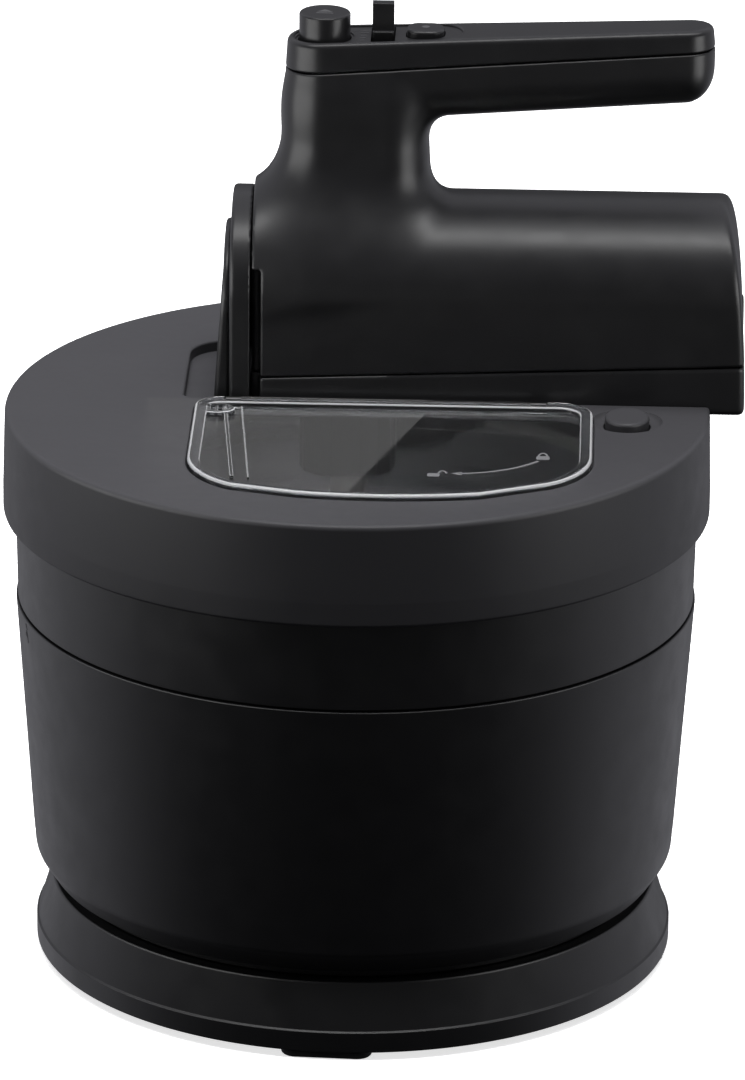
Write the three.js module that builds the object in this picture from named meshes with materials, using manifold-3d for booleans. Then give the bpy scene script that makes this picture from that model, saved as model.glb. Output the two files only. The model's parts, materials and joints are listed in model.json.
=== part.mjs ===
// A hand mixer docked on the lid of a round mixing barrel with a turning bowl.
// Millimetres, +Z up.  Origin: centre of the base plate's underside, on the bowl's axis.
// +X runs along the mixer to its rear end, +Y points to the back of the barrel.
import * as THREE from 'three';
import { mergeVertices } from 'three/addons/utils/BufferGeometryUtils.js';
import Module from 'manifold-3d';

const wasm = await Module();
wasm.setup();

// ---------------------------------------------------------------- driving dimensions
const GAP = 0.3;                 // clearance between pieces that touch
const WALL = 2.4;                // moulded shell thickness
const ROUND = 48;                // sides of the large turned parts

const LID_R = 125;               // lid, at its top edge
const LID_TOP = 200.2;
const SKIRT_BOTTOM = 163.2;
const SKIRT_R = 125.7;
const SEAM_Z = 130.9;            // seam between the collar and the housing
const SEAM_R = 121.1;
const HOUSING_LOW_R = 115;
const HOUSING_LOW_Z = 40;
const NECK_R = 104;
const FOOT_TOP = 24.5;
const FOOT_R = 114.4;
const FEET_COUNT = 4;
const FEET_DROP = 3;
const FEET_ORBIT = 107;          // distance of each rubber foot's middle from the axis
const SCREW_R = 95.6;            // circle of the screws that hold the base to the housing
const SCREW_COUNT = 3;

const BOWL_RIM_Z = 160;
const BOWL_RIM_R = 112;
const BOWL_WALL = 1.4;

const MIXER_Y = 37;              // mixer's middle plane
const BODY_HALF = 31;            // body half width, and radius of its arched top
const BODY_BOTTOM = 196.5;
const ARCH_Z = 237.3;            // centre height of the arched top
const BODY_FRONT = -38.3;        // front edge of the motor housing
const BODY_REAR = 137.2;
const REAR_BULGE = 10.4;         // how far the rear end leans back from crown to floor
const COVER_SEAM_Z = 209.2;      // bottom cover seam, at x = 0
const COVER_SEAM_SLOPE = 0.041;

const GRIP_FRONT = -27.6;
const GRIP_REAR = 124.3;
const GRIP_HALF_FRONT = 13.6;
const GRIP_HALF_REAR = 9.6;
const GRIP_TOP_Z = 326.7;        // top of the grip, at x = 0
const GRIP_TOP_SLOPE = 0.0423;
const GRIP_LOW_Z = 295.1;        // underside of the grip, at x = 0
const GRIP_LOW_SLOPE = 0.0645;
const GRIP_SEAM_Z = 316.2;       // seam of the grip's top cover, at x = 0
const GRIP_SEAM_SLOPE = 0.0645;

const SPINDLE_X = -4;
const SPINDLE_SPREAD = 15;       // each spindle's distance from the middle plane
const MOTOR_Z = 232;
const WORM_MODULE = 1;
const WORM_GEAR_TEETH = 22;
const WORM_PITCH_R = 4;
const COUPLER_HOLE_R = 9;

const PINION_TEETH = 10;
const IDLER_TEETH = 44;
const TRAIN_MODULE = 1.25;
const RING_R = 99;               // inside of the bowl's drive ring, which the idler's tyre rolls on
const ROLLER_R = 18;             // rolling radius of that tyre: the bowl turns once for 5.5 of its turns
const TYRE_WALL = 3.4;

const RECESS_FLOOR = 196.2;      // where the mixer lies in the lid
const LATCH_LUGS = 3;
const HINGE_Y = 2.2;             // feed door hinge
const HINGE_Z = 200.7;
const HINGE_EARS = [[-47, -41.6], [61.6, 67]];
const SEAT_Z = 197.4;            // ledge that the feed door closes on
const BUTTON_AT = [95.6, -11.6]; // release button's axis
const LATCH_Z = [186.4, 190.4];
const CASE_Z = [172.5, 192.9];   // inside of the gear case
const WHEEL_Z = [176, 182];      // idler's large wheel

const EJECT_X = -13.8;
const EJECT_TOP = 333.6;
const LEVER_X = 7.8;
const LEVER_TOP = 338;
const TURBO_X = 22.7;
const TURBO_TOP = 328.9;

const FAN_X = [22, 30];          // motor parts along the shaft
const CORE_X = [39, 63];
const COMMUTATOR_X = [68, 78];
const BRACKET_X = [84, 88];
const BRUSH_X = [70.6, 75.4];

// ---------------------------------------------------------------- helpers
function toSolid(geometry) {
  const bare = geometry.index ? geometry.toNonIndexed() : geometry.clone();
  for (const name of Object.keys(bare.attributes)) {
    if (name !== 'position') bare.deleteAttribute(name);
  }
  const merged = mergeVertices(bare, 1e-4);
  return new wasm.Manifold(new wasm.Mesh({
    numProp: 3,
    vertProperties: new Float32Array(merged.attributes.position.array),
    triVerts: new Uint32Array(merged.index.array),
  }));
}

function toGeometry(solid) {
  const mesh = solid.getMesh();
  const geometry = new THREE.BufferGeometry();
  geometry.setAttribute('position', new THREE.BufferAttribute(new Float32Array(mesh.vertProperties), 3));
  geometry.setIndex(new THREE.BufferAttribute(new Uint32Array(mesh.triVerts), 1));
  const faceted = geometry.toNonIndexed();
  faceted.computeVertexNormals();
  return faceted;
}

const X = new THREE.Vector3(1, 0, 0);
const Y = new THREE.Vector3(0, 1, 0);
const Z = new THREE.Vector3(0, 0, 1);

function prism(shape, depth, basis, origin) {
  const geometry = new THREE.ExtrudeGeometry(shape, { depth, bevelEnabled: false, curveSegments: 8 });
  geometry.applyMatrix4(new THREE.Matrix4().makeBasis(...basis).setPosition(...origin));
  return toSolid(geometry);
}

// A shape drawn in (x, y), (y, z) or (x, z), pushed along the third axis.
const prismZ = (shape, low, high) => prism(shape, high - low, [X, Y, Z], [0, 0, low]);
const prismX = (shape, low, high) => prism(shape, high - low, [Y, Z, X], [low, 0, 0]);
const prismY = (shape, low, high) => prism(shape, high - low, [X, Z, Y.clone().negate()], [0, high, 0]);

function polygon(points) {
  return new THREE.Shape(points.map(([u, v]) => new THREE.Vector2(u, v)));
}

function arcPoints(u, v, radiusU, radiusV, from, to, steps) {
  return Array.from({ length: steps + 1 }, (_, i) => {
    const angle = THREE.MathUtils.degToRad(from + (to - from) * i / steps);
    return [u + radiusU * Math.cos(angle), v + radiusV * Math.sin(angle)];
  });
}

function ellipse(u, v, radiusU, radiusV, steps) {
  return polygon(arcPoints(u, v, radiusU, radiusV, 0, 360 * (steps - 1) / steps, steps - 1));
}

function roundedRect(u0, v0, u1, v1, radius, steps = 3) {
  return polygon([
    ...arcPoints(u1 - radius, v1 - radius, radius, radius, 0, 90, steps),
    ...arcPoints(u0 + radius, v1 - radius, radius, radius, 90, 180, steps),
    ...arcPoints(u0 + radius, v0 + radius, radius, radius, 180, 270, steps),
    ...arcPoints(u1 - radius, v0 + radius, radius, radius, 270, 360, steps),
  ]);
}

function box(x0, x1, y0, y1, z0, z1) {
  const geometry = new THREE.BoxGeometry(x1 - x0, y1 - y0, z1 - z0);
  geometry.translate((x0 + x1) / 2, (y0 + y1) / 2, (z0 + z1) / 2);
  return toSolid(geometry);
}

// Turned solid about +Z: a profile of [radius, z] points, closed on the axis or on itself.
function turned(profile, sides, x = 0, y = 0) {
  const closed = profile[0][0] === 0 ? profile : [...profile, profile[0]];
  const points = closed.map(([radius, height]) => new THREE.Vector2(radius, height));
  const geometry = new THREE.LatheGeometry(points, sides);
  geometry.rotateX(Math.PI / 2);
  geometry.translate(x, y, 0);
  const solid = toSolid(geometry);
  return solid.volume() > 0 ? solid : turned([...profile].reverse(), sides, x, y);
}

function rodZ(radius, low, high, x, y, sides = 16) {
  return turned([[0, low], [radius, low], [radius, high], [0, high]], sides, x, y);
}

function tubeZ(inner, outer, low, high, x, y, sides = 20) {
  return turned([[inner, low], [outer, low], [outer, high], [inner, high]], sides, x, y);
}

// Turned solid about an axis along +X, with its middle at (y, z).
function turnedX(profile, sides, y, z) {
  const toX = new THREE.Matrix4().makeBasis(Y, Z, X).setPosition(0, y, z);
  const geometry = toGeometry(turned(profile, sides));
  geometry.applyMatrix4(toX);
  return toSolid(geometry);
}

function rodX(radius, low, high, y, z, sides = 16) {
  return turnedX([[0, low], [radius, low], [radius, high], [0, high]], sides, y, z);
}

function union(first, ...others) {
  return others.reduce((sum, solid) => sum.add(solid), first);
}

function cut(first, ...others) {
  return others.reduce((rest, solid) => rest.subtract(solid), first);
}

// Outline of a spur gear with straight-sided teeth; one tooth is centred on `phase`.
function gearOutline(teeth, module, { phase = 0, tip = 1, root = -1.2, tipHalf = 0.1, rootHalf = 0.27 } = {}) {
  const pitch = 2 * Math.PI / teeth;
  const pitchR = module * teeth / 2;
  const points = [];
  for (let i = 0; i < teeth; i += 1) {
    const middle = phase + i * pitch;
    const corners = [
      [pitchR + root * module, -rootHalf],
      [pitchR + tip * module, -tipHalf],
      [pitchR + tip * module, tipHalf],
      [pitchR + root * module, rootHalf],
    ];
    for (const [radius, share] of corners) {
      const angle = middle + share * pitch;
      points.push([radius * Math.cos(angle), radius * Math.sin(angle)]);
    }
  }
  return polygon(points);
}

// ---------------------------------------------------------------- materials
function material(color, roughness, metalness, extra = {}) {
  return new THREE.MeshStandardMaterial({ color, roughness, metalness, ...extra });
}
const satinShell = () => material(0x2b2a2e, 0.5, 0.0);
const darkPlastic = () => material(0x141416, 0.55, 0.0);
const clearPlastic = () => material(0xc8ccd0, 0.1, 0.0, { transparent: true, opacity: 0.35 });
const greyRubber = () => material(0x19191b, 0.9, 0.0);
const whiteNylon = () => material(0xdcdad2, 0.5, 0.0);
const steel = () => material(0xb4b6b8, 0.3, 1.0);
const copper = () => material(0xb0653a, 0.4, 1.0);
const laminatedIron = () => material(0x77787c, 0.55, 0.9);
const brass = () => material(0xb59a52, 0.35, 1.0);
const carbon = () => material(0x222224, 0.8, 0.1);
const boardGreen = () => material(0x1f4a2c, 0.6, 0.0);

const assembly = new THREE.Group();

function piece(parent, name, solid, finish) {
  const mesh = new THREE.Mesh(toGeometry(solid), finish);
  mesh.name = name;
  parent.add(mesh);
  return mesh;
}

function group(parent) {
  const child = new THREE.Group();
  parent.add(child);
  return child;
}

// ---------------------------------------------------------------- base and housing
function footRing() {
  return turned([
    [FOOT_R, 0], [FOOT_R, 5.6], [113.4, 6.6], [108.6, FOOT_TOP - 0.6], [107.8, FOOT_TOP],
    [99.6, FOOT_TOP], [99.6, FOOT_TOP - 2.6], [105.6, FOOT_TOP - 2.6], [110.6, 6], [110.6, 0],
  ], ROUND);
}

const screwAngles = Array.from({ length: SCREW_COUNT }, (_, i) => 42 + i * 360 / SCREW_COUNT);

function screwHoles(radius, low, high) {
  return screwAngles.map((angle) => rodZ(radius, low, high, SCREW_R, 0, 12).rotate([0, 0, angle]));
}

function basePlate() {
  const plate = turned([
    [0, 0], [110.3, 0], [110.3, 3], [99.2, 3], [99.2, FOOT_TOP - 0.3], [92, FOOT_TOP - 0.3], [92, 3], [0, 3],
  ], ROUND);
  return cut(plate, ...screwHoles(2.1, -1, FOOT_TOP), ...screwHoles(3.9, -1, 2.6));
}

function baseScrew(angle) {
  const screw = turned([
    [0, 1.4], [1.5, 0.3], [3.5, 0.3], [3.5, 2.3], [1.7, 2.3], [1.7, 30.7], [0, 30.7],
  ], 12, SCREW_R, 0);
  return screw.rotate([0, 0, angle]);
}

function rubberFoot(angle) {
  const [half, depth, corner] = [16, 6, 5];
  const outline = roundedRect(-half, -FEET_ORBIT - depth, half, -FEET_ORBIT + depth, corner);
  const foot = prismZ(outline, -FEET_DROP, -GAP);
  return foot.rotate([0, 0, angle]);
}

const BAYONET_LIP_Z = SEAM_Z + 6.4;

// Three ledges or lugs, evenly spaced, starting at `start` degrees and `span` degrees long.
function lugRing(inner, outer, low, high, start, span) {
  const lugs = [];
  for (let i = 0; i < LATCH_LUGS; i += 1) {
    const from = start + i * 360 / LATCH_LUGS;
    lugs.push(prismZ(polygon([
      ...arcPoints(0, 0, outer, outer, from, from + span, 4),
      ...arcPoints(0, 0, inner, inner, from + span, from, 4),
    ]), low, high));
  }
  return union(...lugs);
}

function housingShell() {
  const shell = turned([
    [0, 28.8], [NECK_R - 3, 28.8], [NECK_R - 3, FOOT_TOP + GAP], [NECK_R, FOOT_TOP + GAP], [NECK_R, 28.8],
    [109.5, 28.8], [113, 33], [HOUSING_LOW_R, HOUSING_LOW_Z], [SEAM_R - 0.1, SEAM_Z - GAP],
    [118.2, SEAM_Z - GAP], [118.2, BAYONET_LIP_Z], [116.4, BAYONET_LIP_Z], [116.4, SEAM_Z - 4],
    [112, HOUSING_LOW_Z + 1], [109, 32], [0, 32],
  ], ROUND);
  const bored = cut(shell, ...screwHoles(2, 28, 31));
  return bored.add(lugRing(118, 119.3, SEAM_Z + 3.6, SEAM_Z + 5.4, 22, 20));
}

const base = group(assembly);
piece(base, 'foot_ring', footRing(), darkPlastic());
piece(base, 'base_plate', basePlate(), darkPlastic());
screwAngles.forEach((angle, i) => piece(base, `base_screw_${i + 1}`, baseScrew(angle), steel()));
for (let i = 0; i < FEET_COUNT; i += 1) {
  piece(base, `rubber_foot_${i + 1}`, rubberFoot(-3 + i * 360 / FEET_COUNT), greyRubber());
}
piece(base, 'housing_shell', housingShell(), satinShell());
const pivotPin = () => turned([
  [0, 32.3], [9, 32.3], [9, 33.4], [4, 33.4], [4, 37.6], [0, 37.6],
], 20);
piece(base, 'pivot_pin', pivotPin(), steel());

// ---------------------------------------------------------------- bowl
function turntable() {
  return turned([
    [6.3, 34], [66, 34], [66, 37.4], [12, 37.4], [12, 38], [6.3, 38],
  ], 32);
}

// The inner and outer skins follow one curve: a flat floor, a rounded corner, a steep flared wall.
function bowlSkin(offset) {
  const floorZ = 38.4 + BOWL_WALL - offset;
  const corner = arcPoints(64, 78.4, 40 + offset - BOWL_WALL, 40 + offset - BOWL_WALL, 270, 360, 4);
  return [[0, floorZ], ...corner];
}

function bowl() {
  const rim = [[BOWL_RIM_R, BOWL_RIM_Z - 1.8], [BOWL_RIM_R, BOWL_RIM_Z], [107.6, BOWL_RIM_Z]];
  const outer = bowlSkin(BOWL_WALL);
  const inner = bowlSkin(0).reverse();
  return turned([...outer, [109, BOWL_RIM_Z - 1.8], ...rim, ...inner], ROUND);
}

const farSpindle = new THREE.Vector2(SPINDLE_X, MIXER_Y + SPINDLE_SPREAD);
const pinionR = PINION_TEETH * TRAIN_MODULE / 2;
const idlerR = IDLER_TEETH * TRAIN_MODULE / 2;
const idlerOrbit = RING_R - ROLLER_R;
const MESH_RELIEF = 0.15;        // extra centre distance that gives the small gears backlash

// The idler stands where it meets both the far coupler's pinion and the bowl's drive ring.
function idlerAxis() {
  const reach = farSpindle.length();
  const span = pinionR + idlerR + MESH_RELIEF;
  const cosine = (idlerOrbit ** 2 + reach ** 2 - span ** 2) / (2 * idlerOrbit * reach);
  const angle = farSpindle.angle() - Math.acos(cosine);
  return new THREE.Vector2(idlerOrbit * Math.cos(angle), idlerOrbit * Math.sin(angle));
}
const idler = idlerAxis();
const RING_Z = [BOWL_RIM_Z + GAP, BOWL_RIM_Z + 6.3];

const bowlDriveRing = () => tubeZ(RING_R, BOWL_RIM_R, ...RING_Z, 0, 0, ROUND);

const bowlGroup = group(assembly);
piece(bowlGroup, 'turntable', turntable(), darkPlastic());
piece(bowlGroup, 'pivot_bush', tubeZ(4.2, 6, 34, 38, 0, 0, 24), brass());
piece(bowlGroup, 'bowl', bowl(), steel());
piece(bowlGroup, 'bowl_drive_ring', bowlDriveRing(), whiteNylon());

// ---------------------------------------------------------------- lid
// The recess that the mixer lies in: open at the right, rounded at its left end.
function recessOutline(grow) {
  const left = -62 - grow;
  const front = MIXER_Y - BODY_HALF - 0.6 - grow;
  const back = MIXER_Y + BODY_HALF + 1.2 + grow;
  return polygon([
    [left + 3, front], [140, front], [140, back],
    ...arcPoints(left + 14, back - 14, 14, 14, 90, 180, 4),
    [left, front + 3],
  ]);
}

// The D-shaped feed opening: straight at the back, bowed at the front.
function doorOutline(grow) {
  const left = -57.4 - grow;
  const right = 83.6 + grow;
  const back = 2.4 + grow;
  const front = -98.4 - grow;
  return polygon([
    ...arcPoints(right - 12, back - 12, 12, 12, 0, 90, 3),
    ...arcPoints(left + 9, back - 9, 9, 9, 90, 180, 3),
    ...arcPoints(left + 32, -60, 32, 34 + grow, 180, 240, 4),
    ...arcPoints(9, front + 175, 175, 175, 261, 282, 4),
    ...arcPoints(right - 30, -55, 30, 33 + grow, 300, 360, 4),
  ]);
}

const LATCH_SLOT = [89.5, 101.7, 7.6, 16.6];   // in the recess floor, for the latch's finger

function lidCover() {
  const shell = turned([
    [0, 197], [122, 197], [122, SKIRT_BOTTOM], [SKIRT_R - 0.6, SKIRT_BOTTOM], [SKIRT_R, SKIRT_BOTTOM + 1],
    [SKIRT_R, 172], [LID_R, LID_TOP - 1.6], [LID_R - 1.6, LID_TOP], [0, LID_TOP],
  ], ROUND);
  const inside = rodZ(LID_R - 1.6, 190, LID_TOP, 0, 0, ROUND);
  const tray = prismZ(recessOutline(2.4), 193.2, LID_TOP).intersect(inside);
  const frame = prismZ(doorOutline(3), 194.6, LID_TOP).subtract(prismZ(doorOutline(-4), 190, 210));
  const well = prismZ(ellipse(...BUTTON_AT, 14, 15.5, 24), 194.6, LID_TOP);
  const ears = HINGE_EARS.map(([x0, x1]) => box(x0, x1, HINGE_Y - 2.4, HINGE_Y + 2.2, 196, HINGE_Z + 1.9));
  const pinHole = rodX(1.35, -60, 80, HINGE_Y, HINGE_Z, 12);
  const solid = cut(
    union(shell, tray, frame, well),
    prismZ(recessOutline(0), RECESS_FLOOR, 210),
    prismZ(doorOutline(0.4), SEAT_Z, 210),
    rodX(2.5, HINGE_EARS[0][0], HINGE_EARS[1][1], HINGE_Y, HINGE_Z, 12),
    prismZ(doorOutline(-4), 190, 210),
    prismZ(ellipse(...BUTTON_AT, 11.6, 13.2, 24), LID_TOP - 1.6, 210),
    prismZ(ellipse(...BUTTON_AT, 8.4, 9.9, 24), 190, 210),
    box(...LATCH_SLOT, 190, 210),
    ...spindleYs().map((y) => rodZ(COUPLER_HOLE_R, 190, 210, SPINDLE_X, y, 24)),
  );
  return cut(union(solid, ...ears), pinHole);
}

function spindleYs() {
  return [MIXER_Y - SPINDLE_SPREAD, MIXER_Y + SPINDLE_SPREAD];
}

function lidCollar() {
  const ring = turned([
    [119.7, SEAM_Z], [SEAM_R, SEAM_Z], [121.7, SKIRT_BOTTOM + 0.5], [121.7, 186], [119.4, 186],
    [119.4, 144], [114.6, 144], [114.6, SEAM_Z + 9], [119.7, SEAM_Z + 9],
  ], ROUND);
  return ring.add(lugRing(118.5, 120, SEAM_Z + 0.8, SEAM_Z + 2.8, 4, 14));
}

function gearCase() {
  const around = (grow) => {
    const reach = idlerR + 2.6 + grow;
    const half = 15 + grow;
    const side = SPINDLE_SPREAD + half;
    const hub = prismZ(ellipse(idler.x, idler.y, reach, reach, 28), ...CASE_Z);
    const stems = roundedRect(SPINDLE_X - half, MIXER_Y - side, SPINDLE_X + half, MIXER_Y + side, 12);
    return hub.add(prismZ(stems, ...CASE_Z));
  };
  const walls = around(2).subtract(around(0).translate([0, 0, 0.01]));
  const floor = around(2).translate([0, 0, -2.5]).subtract(around(4));
  return cut(
    union(walls, floor),
    rodZ(7.2, 150, 180, idler.x, idler.y, 20),
    ...spindleYs().map((y) => rodZ(6.8, 150, 180, SPINDLE_X, y, 20)),
  );
}

const lid = group(assembly);
piece(lid, 'lid_cover', lidCover(), satinShell());
piece(lid, 'lid_collar', lidCollar(), satinShell());
piece(lid, 'lid_gasket', tubeZ(115, 118.2, BAYONET_LIP_Z + GAP, SEAM_Z + 8.7, 0, 0, 48), greyRubber());
piece(lid, 'gear_case', gearCase(), darkPlastic());

// Idler: a large wheel met by the coupler's pinion, and below it a tyred roller that turns the bowl.
const towardsPinion = Math.atan2(farSpindle.y - idler.y, farSpindle.x - idler.x);
const ROLLER_Z = [RING_Z[0] + 0.3, RING_Z[1] - 0.3];
const coreR = ROLLER_R - GAP - TYRE_WALL - GAP;

function idlerGear() {
  const wheel = prismZ(gearOutline(IDLER_TEETH, TRAIN_MODULE, {
    phase: towardsPinion + Math.PI / IDLER_TEETH,
  }), ...WHEEL_Z);
  const core = rodZ(coreR, ...ROLLER_Z, 0, 0, 32);
  const hub = rodZ(6.4, ROLLER_Z[0], 180, 0, 0, 20);
  const bore = rodZ(2.6, 150, 200, 0, 0, 16);
  return cut(union(wheel, core, hub), bore).translate([idler.x, idler.y, 0]);
}

const frictionTyre = () => tubeZ(coreR + GAP, ROLLER_R - GAP, ...ROLLER_Z, idler.x, idler.y, 40);

piece(lid, 'idler_gear', idlerGear(), whiteNylon());
piece(lid, 'friction_tyre', frictionTyre(), greyRubber());
piece(lid, 'idler_pin', turned([
  [0, 159], [4.5, 159], [4.5, 160.2], [2.3, 160.2], [2.3, CASE_Z[1] - 0.1], [0, CASE_Z[1] - 0.1],
], 16, idler.x, idler.y), steel());

// ---------------------------------------------------------------- feed door and release button
function feedDoor() {
  const plate = prismZ(doorOutline(0), SEAT_Z + GAP, 199.8);
  const rim = prismZ(doorOutline(0), 199.7, 201.6).subtract(prismZ(doorOutline(-2.6), 190, 210));
  const tab = prismZ(ellipse(-48, -11, 7.5, 4.6, 16), 199.7, 201.4);
  const barrel = rodX(2, HINGE_EARS[0][1] + 0.4, HINGE_EARS[1][0] - 0.4, HINGE_Y, HINGE_Z, 12);
  const bore = rodX(1.3, -60, 80, HINGE_Y, HINGE_Z, 12);
  const notches = HINGE_EARS.map(([x0, x1]) => box(x0 - 0.4, x1 + 0.4, HINGE_Y - 3, 10, 190, 210));
  return cut(union(plate, rim, tab, barrel), bore, ...notches);
}
piece(lid, 'feed_door', feedDoor(), clearPlastic());
const hingePin = () => rodX(1, HINGE_EARS[0][0] + 0.2, HINGE_EARS[1][1] - 0.2, HINGE_Y, HINGE_Z, 12);
piece(lid, 'door_hinge_pin', hingePin(), steel());

function releaseButton() {
  const cap = prismZ(ellipse(...BUTTON_AT, 7.9, 9.4, 24), 194.9, 202.2);
  return cap.add(rodZ(2.6, 178.6, 195, ...BUTTON_AT, 12));
}

function releaseLatch() {
  const [x, y] = BUTTON_AT;
  const bar = box(x - 5, x + 5, y - 7, 14.4, ...LATCH_Z);
  const window = box(x - 3.2, x + 3.2, y - 4, y + 6.5, 180, 200);
  return bar.subtract(window).add(box(x - 5, x + 5, 12.4, 14.4, LATCH_Z[1] - 0.5, 199));
}

// A coil spring, drawn as its closed envelope: a tube as wide and as long as the coil.
const coil = (inner, outer, low, high, x, y) => tubeZ(inner, outer, low, high, x, y, 12);

piece(lid, 'release_button', releaseButton(), satinShell());
piece(lid, 'release_latch', releaseLatch(), darkPlastic());
piece(lid, 'release_spring', coil(3.4, 4.4, 190.8, 194.6, ...BUTTON_AT), steel());

// ---------------------------------------------------------------- couplers and beaters
function coupler(y) {
  return turned([
    [3.2, 150], [6.2, 150], [6.2, 172.9], [3, 174.4], [3, 184.6], [8, 184.8], [8, 188.4], [6, 188.6],
    [6, 197.4], [2.2, 199.4], [2.2, 213.2], [1.6, 214], [0, 214], [0, 172], [3.2, 170],
  ], 16, SPINDLE_X, y);
}

function drivePinion() {
  const phase = towardsPinion + Math.PI;
  const wheel = prismZ(gearOutline(PINION_TEETH, TRAIN_MODULE, { phase }), 175.4, 182.6);
  return wheel.subtract(rodZ(3.3, 170, 190, 0, 0, 16)).translate([farSpindle.x, farSpindle.y, 0]);
}

const BEATER_R = 21;
const BEATER_LOW = 52;
const BEATER_HIGH = 146;

// One beater: a stem with a hub at each end, and four flat bowed wires.
function beater(y, turn) {
  const wires = [];
  for (let i = 0; i < 4; i += 1) {
    const outer = arcPoints(0, 99, BEATER_R, 44, -78, 78, 8);
    const inner = arcPoints(0, 99, BEATER_R - 2, 42, 78, -78, 8);
    const wire = prismY(polygon([...outer, ...inner]), -2, 2);
    wires.push(wire.rotate([0, 0, turn + i * 90]));
  }
  const stem = rodZ(2.9, BEATER_HIGH - 10, 169.6, 0, 0, 12);
  const top = rodZ(6, BEATER_HIGH - 10, BEATER_HIGH, 0, 0, 16);
  const foot = rodZ(6.2, BEATER_LOW, 60, 0, 0, 16);
  return union(stem, top, foot, ...wires).translate([SPINDLE_X, y, 0]);
}

const drive = group(assembly);
const SIDES = ['near', 'far'];
spindleYs().forEach((y, i) => {
  piece(drive, `${SIDES[i]}_coupler`, coupler(y), whiteNylon());
  piece(drive, `${SIDES[i]}_beater`, beater(y, i * 45), steel());
});
piece(drive, 'drive_pinion', drivePinion(), whiteNylon());

// ---------------------------------------------------------------- mixer shells
function archSection(inset, bottom) {
  const half = BODY_HALF - inset;
  return polygon([
    [MIXER_Y - half, bottom], [MIXER_Y + half, bottom],
    ...arcPoints(MIXER_Y, ARCH_Z, half, half, 0, 180, 16),
  ]);
}

// Side view of the body: level crown, rear end leaning back like a quarter ellipse.
function bodySide(inset, front) {
  const rear = BODY_REAR - inset;
  const crown = ARCH_Z + BODY_HALF + 1 - inset;
  return polygon([
    [front, 190], [rear - 1, 190], [rear - 1, BODY_BOTTOM + inset], [rear, BODY_BOTTOM + inset + 2],
    ...arcPoints(rear - REAR_BULGE, BODY_BOTTOM + 2, REAR_BULGE, crown - BODY_BOTTOM - 2, 8, 90, 6),
    [front, crown],
  ]);
}

const coverSeam = (x) => COVER_SEAM_Z + COVER_SEAM_SLOPE * x;
const gripTop = (x) => GRIP_TOP_Z + GRIP_TOP_SLOPE * x;
const gripLow = (x) => GRIP_LOW_Z + GRIP_LOW_SLOPE * x;
const gripSeam = (x) => GRIP_SEAM_Z + GRIP_SEAM_SLOPE * x;

// Everything above or below a seam that rises to the rear.
function halfSpace(seam, offset, above) {
  const far = above ? 400 : 100;
  const line = [[-120, seam(-120) + offset], [200, seam(200) + offset]];
  return prismY(polygon([...line, [200, far], [-120, far]]), -60, 140);
}

// Side view of the post and the grip.
function gripSide(inset) {
  const rear = GRIP_REAR - inset;
  const low = (x) => gripLow(x) + inset;
  const top = (x) => gripTop(x) - inset;
  return polygon([
    [BODY_FRONT + inset, 262], ...arcPoints(-46 + inset, 284, 16.5, 16, -62, 0, 4), [GRIP_FRONT + inset, 312],
    [GRIP_FRONT + inset, top(GRIP_FRONT) - 3], [GRIP_FRONT + 3 + inset, top(GRIP_FRONT)],
    [rear - 9, top(rear)],
    ...arcPoints(rear - 9, top(rear) - 11, 9, 11, 75, -15, 4),
    ...arcPoints(rear - 12, low(rear) + 11, 12, 11, -10, -80, 3),
    [33, low(33)], ...arcPoints(31.8, low(31) - 9, 9 + inset, 9, 92, 180, 4),
    [22.6 - inset, 278], ...arcPoints(34 - inset, 278, 11.4, 10, 190, 240, 3), [36 - inset, 262],
  ]);
}

// Plan view of the grip: wide and round at the front, narrower at the rear.
function gripPlan(inset) {
  const front = GRIP_HALF_FRONT - inset;
  const rear = GRIP_HALF_REAR - inset;
  return polygon([
    ...arcPoints(GRIP_FRONT + GRIP_HALF_FRONT, MIXER_Y, front, front, 95, 265, 8),
    ...arcPoints(GRIP_REAR - GRIP_HALF_REAR, MIXER_Y, rear, rear, 272, 448, 8),
  ]);
}

function gripSolid(inset) {
  const half = GRIP_HALF_FRONT + 1;
  const post = prismY(gripSide(inset), MIXER_Y - half + inset, MIXER_Y + half - inset);
  const plan = prismZ(gripPlan(inset), 250, 345);
  const foot = prismZ(roundedRect(-44, MIXER_Y - half, 36, MIXER_Y + half, 6), 250, 282);
  return post.intersect(plan.add(foot));
}

function bodySolid(inset, front, bottom) {
  const arch = prismX(archSection(inset, bottom), front, BODY_REAR + 5);
  return arch.intersect(prismY(bodySide(inset, front), -20, 100));
}

// The vent between the front cap and the housing.
const ventCut = () => box(BODY_FRONT - 1, BODY_FRONT + 3.4, -10, 90, 190, 247);

function motorHousing() {
  const outer = bodySolid(0, BODY_FRONT, 190).add(gripSolid(0));
  const inner = bodySolid(WALL, BODY_FRONT - 5, 180).add(gripSolid(WALL));
  return cut(
    outer,
    inner,
    halfSpace(coverSeam, GAP / 2, false),
    halfSpace(gripSeam, -GAP / 2, true),
    ventCut(),
    rodX(8.2, BODY_REAR - 20, BODY_REAR + 10, MIXER_Y, 224, 20),
  );
}

function bottomCover() {
  const rimInner = bodySolid(WALL, BODY_FRONT - 5, 199.2);
  const cup = bodySolid(0, BODY_FRONT, BODY_BOTTOM);
  return cut(
    cup,
    rimInner,
    halfSpace(coverSeam, -GAP / 2, true),
    ventCut(),
    box(86.5, 104.7, 6.2 + WALL, 18, 190, 205),
    ...spindleYs().map((y) => rodZ(COUPLER_HOLE_R, 190, 205, SPINDLE_X, y, 24)),
  );
}

function frontCap() {
  const outer = prismX(archSection(-0.4, BODY_BOTTOM), -46, BODY_FRONT - GAP);
  const inner = prismX(archSection(WALL + 1, BODY_BOTTOM + 3), -43.4, BODY_FRONT + 5);
  return outer.subtract(inner);
}

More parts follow.
